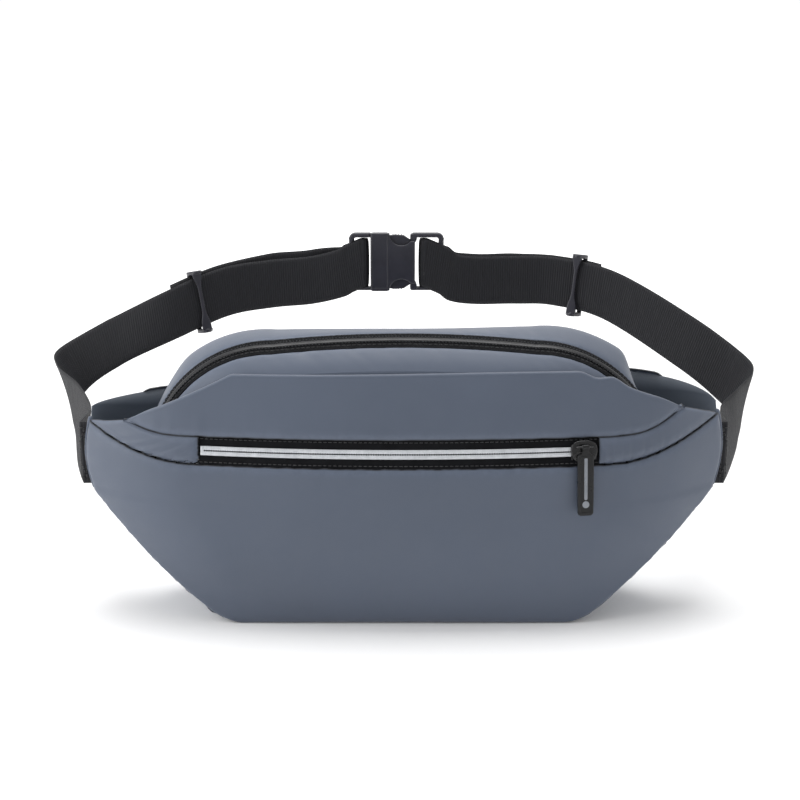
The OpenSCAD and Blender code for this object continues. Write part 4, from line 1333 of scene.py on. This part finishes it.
def brow(sign):
    """The heavier upper rail of a web frame."""
    x_in = BODY_X - 2.4 if sign > 0 else -MOUTH_X + 0.2
    out = BAR_X + 2.2
    low = RAIL_IN - 0.2
    pts = [(x_in, HB + 0.4)] + arc_points(out - 5.4, HB - 5.0, 5.4, 90, 8, 10) + [(out - 1.6, HB - 7.5)] \
        + arc_points(out - 6.2, low - 3.6, 3.6, 0, 90, 8) + [(x_in, low)]
    return pts if sign > 0 else [(-x, z) for x, z in pts[::-1]]


def buckle_female():
    half = body_outline()
    loop = half + [(x, -z) for x, z in half[::-1]]
    parts = [plate("f_front", [loop], 2.1, 0.85, 4, -BUCKLE_T / 2 + 1.05),
             plate("f_back", [loop], 2.1, 0.85, 4, BUCKLE_T / 2 - 1.05)]
    for k in (-1, 1):
        lip = rounded(14.4, 2.2, 0.9, MOUTH_X + 7.3, k * (HB - 1.1))
        cheek = rounded(5.4, 5.5, 1.6, BODY_X - 1.8, k * (HB - 3.0))
        parts.append(plate("f_lip%d" % k, [lip], 9.4, 0.3, 2))
        parts.append(plate("f_cheek%d" % k, [cheek], 9.0, 0.8, 3))
    parts.append(plate("f_band", [rounded(13.6, 2 * HB + 0.5, 1.4, MOUTH_X + 7.2, 0),
                                  rounded(11.2, 2 * HB - 5.2, 1.0, MOUTH_X + 7.2, 0)], 12.5, 0.7, 3))
    parts.append(plate("f_end", [rounded(2.6, BUCKLE_H - 8, 1.0, BODY_X - 1.9, 0)], 8.8, 0.3, 2))
    parts.append(plate("f_web", [frame_c(1)], 7.0, 1.6, 5))
    parts.append(plate("f_brow", [brow(1)], 9.6, 1.5, 5))
    obj = place(join("buckle_female_half", parts), AT_BUCKLE)
    shade(obj, 50)
    return finish(obj, "buckle", "belt", ["buckle_female"])


def buckle_male():
    shoulder = [rounded(3.0, 2 * HB - 5.0, 1.2, MOUTH_X + 1.3, 0)]
    parts = [plate("m_shoulder", shoulder, 7.4, 0.9, 4),
             plate("m_tongue", [rounded(29, 7, 1.5, MOUTH_X + 14.4, 0)], 6.0, 0.6, 3),
             plate("m_web", [frame_c(-1)], 7.0, 1.6, 5),
             plate("m_brow", [brow(-1)], 9.6, 1.5, 5)]
    obj = place(join("buckle_male_half", parts), AT_BUCKLE)
    shade(obj, 50)
    return finish(obj, "buckle", "buckle_male", ["buckle_male"])


def buckle_arm(k, name):
    head = [(-6, 12.4), (8.6, 12.4), (12, 14.8), (12, 17), (6, 21), (-1, 21.6), (-6, 21)]
    root = [(-19, 12.4), (-5, 12.8), (-5, 15.2), (-19, 15.6)]
    parts = [plate("arm_head", [head], 6.0, 0.8, 4), plate("arm_root", [root], 5.6, 0.5, 3)]
    for i in range(4):
        parts.append(plate("arm_grip%d" % i, [rounded(1.0, 1.0, 0.45, -2.6 + 2.2 * i, 21.2)], 5.0, 0.25, 2))
    obj = join("buckle_arm_%s_half" % name, parts)
    if k < 0:
        obj.data.transform(Matrix.Diagonal((1, 1, -1, 1)))
        obj.data.flip_normals()
    place(obj, AT_BUCKLE)
    shade(obj, 50)
    return finish(obj, "buckle", "buckle_arm_" + name, ["buckle_arm_" + name])


buckle_female()
buckle_male()
buckle_arm(1, "upper")
buckle_arm(-1, "lower")

# ---- inner pieces keep their CAD shape and get finished materials ----------------------
for node, mat in (("front_pocket_lining", "lining"), ("main_lining", "lining"), ("back_foam", "foam"),
                  ("base_board", "board")):
    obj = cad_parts[node]
    for i in range(max(1, len(obj.material_slots))):
        if not obj.material_slots:
            obj.data.materials.append(M[mat])
        obj.material_slots[i].material = M[mat]

# ---- floor, light and camera ----------------------------------------------------------
bpy.context.scene.view_settings.view_transform = "Standard"
world = bpy.data.worlds.new("world")
bpy.context.scene.world = world
world.use_nodes = True
world.node_tree.nodes["Background"].inputs["Color"].default_value = (1.0, 1.0, 1.0, 1.0)
world.node_tree.nodes["Background"].inputs["Strength"].default_value = 0.52


def stage(name, corners):
    """A flat piece of the studio, with a material to fill in."""
    mesh = bpy.data.meshes.new(name)
    mesh.from_pydata(corners, [], [(0, 1, 2, 3)])
    obj = bpy.data.objects.new(name, mesh)
    bpy.context.scene.collection.objects.link(obj)
    m = Mat(name)
    m.bsdf.inputs["Emission Color"].default_value = (1, 1, 1, 1)
    return obj, m


def softbox(name, at, target, size, power):
    light = bpy.data.lights.new(name, "AREA")
    light.shape = "RECTANGLE"
    light.size, light.size_y = size
    light.energy = power
    obj = bpy.data.objects.new(name, light)
    obj.location = at
    obj.rotation_euler = (Vector(target) - Vector(at)).to_track_quat("-Z", "Y").to_euler()
    bpy.context.scene.collection.objects.link(obj)


softbox("left", (-1.5, -0.35, 0.75), (0, 0, 0.1), (0.9, 1.3), 17)
softbox("right", (1.6, -0.35, 0.75), (0, 0, 0.1), (0.9, 1.3), 4)
softbox("top", (0, 0.30, 1.6), (0, 0.05, 0.1), (1.5, 0.8), 20)

floor, fm = stage("floor", [(-6, -4, 0), (6, -4, 0), (6, 8, 0), (-6, 8, 0)])
away = fm.add("VectorMath", {0: fm.obj}, operation="LENGTH").outputs["Value"]
fm.put(fm.bsdf.inputs["Emission Strength"], fm.remap(away, 0.0, 0.95, 0.55, 1.9))
pale = fm.blend(fm.noise(3.0, 2), rgb((0.95, 0.95, 0.955)), rgb((0.97, 0.97, 0.97)))
floor.data.materials.append(fm.done(pale, 0.9))

wall, wm = stage("backdrop", [(-8, 7.9, -0.5), (8, 7.9, -0.5), (8, 7.9, 6), (-8, 7.9, 6)])
wm.bsdf.inputs["Emission Strength"].default_value = 1.0
wall.data.materials.append(wm.done((0, 0, 0, 1), 1.0))

cam = bpy.data.cameras.new("camera")
cam.lens, cam.sensor_width = 50.0, 36.0
cam.clip_start = 0.01
cam_obj = bpy.data.objects.new("camera", cam)
cam_obj.location = (-0.0021, -0.6354, 0.2852)
cam_obj.rotation_euler = (math.radians(90 - 14), 0, 0)
bpy.context.scene.collection.objects.link(cam_obj)
bpy.context.scene.camera = cam_obj
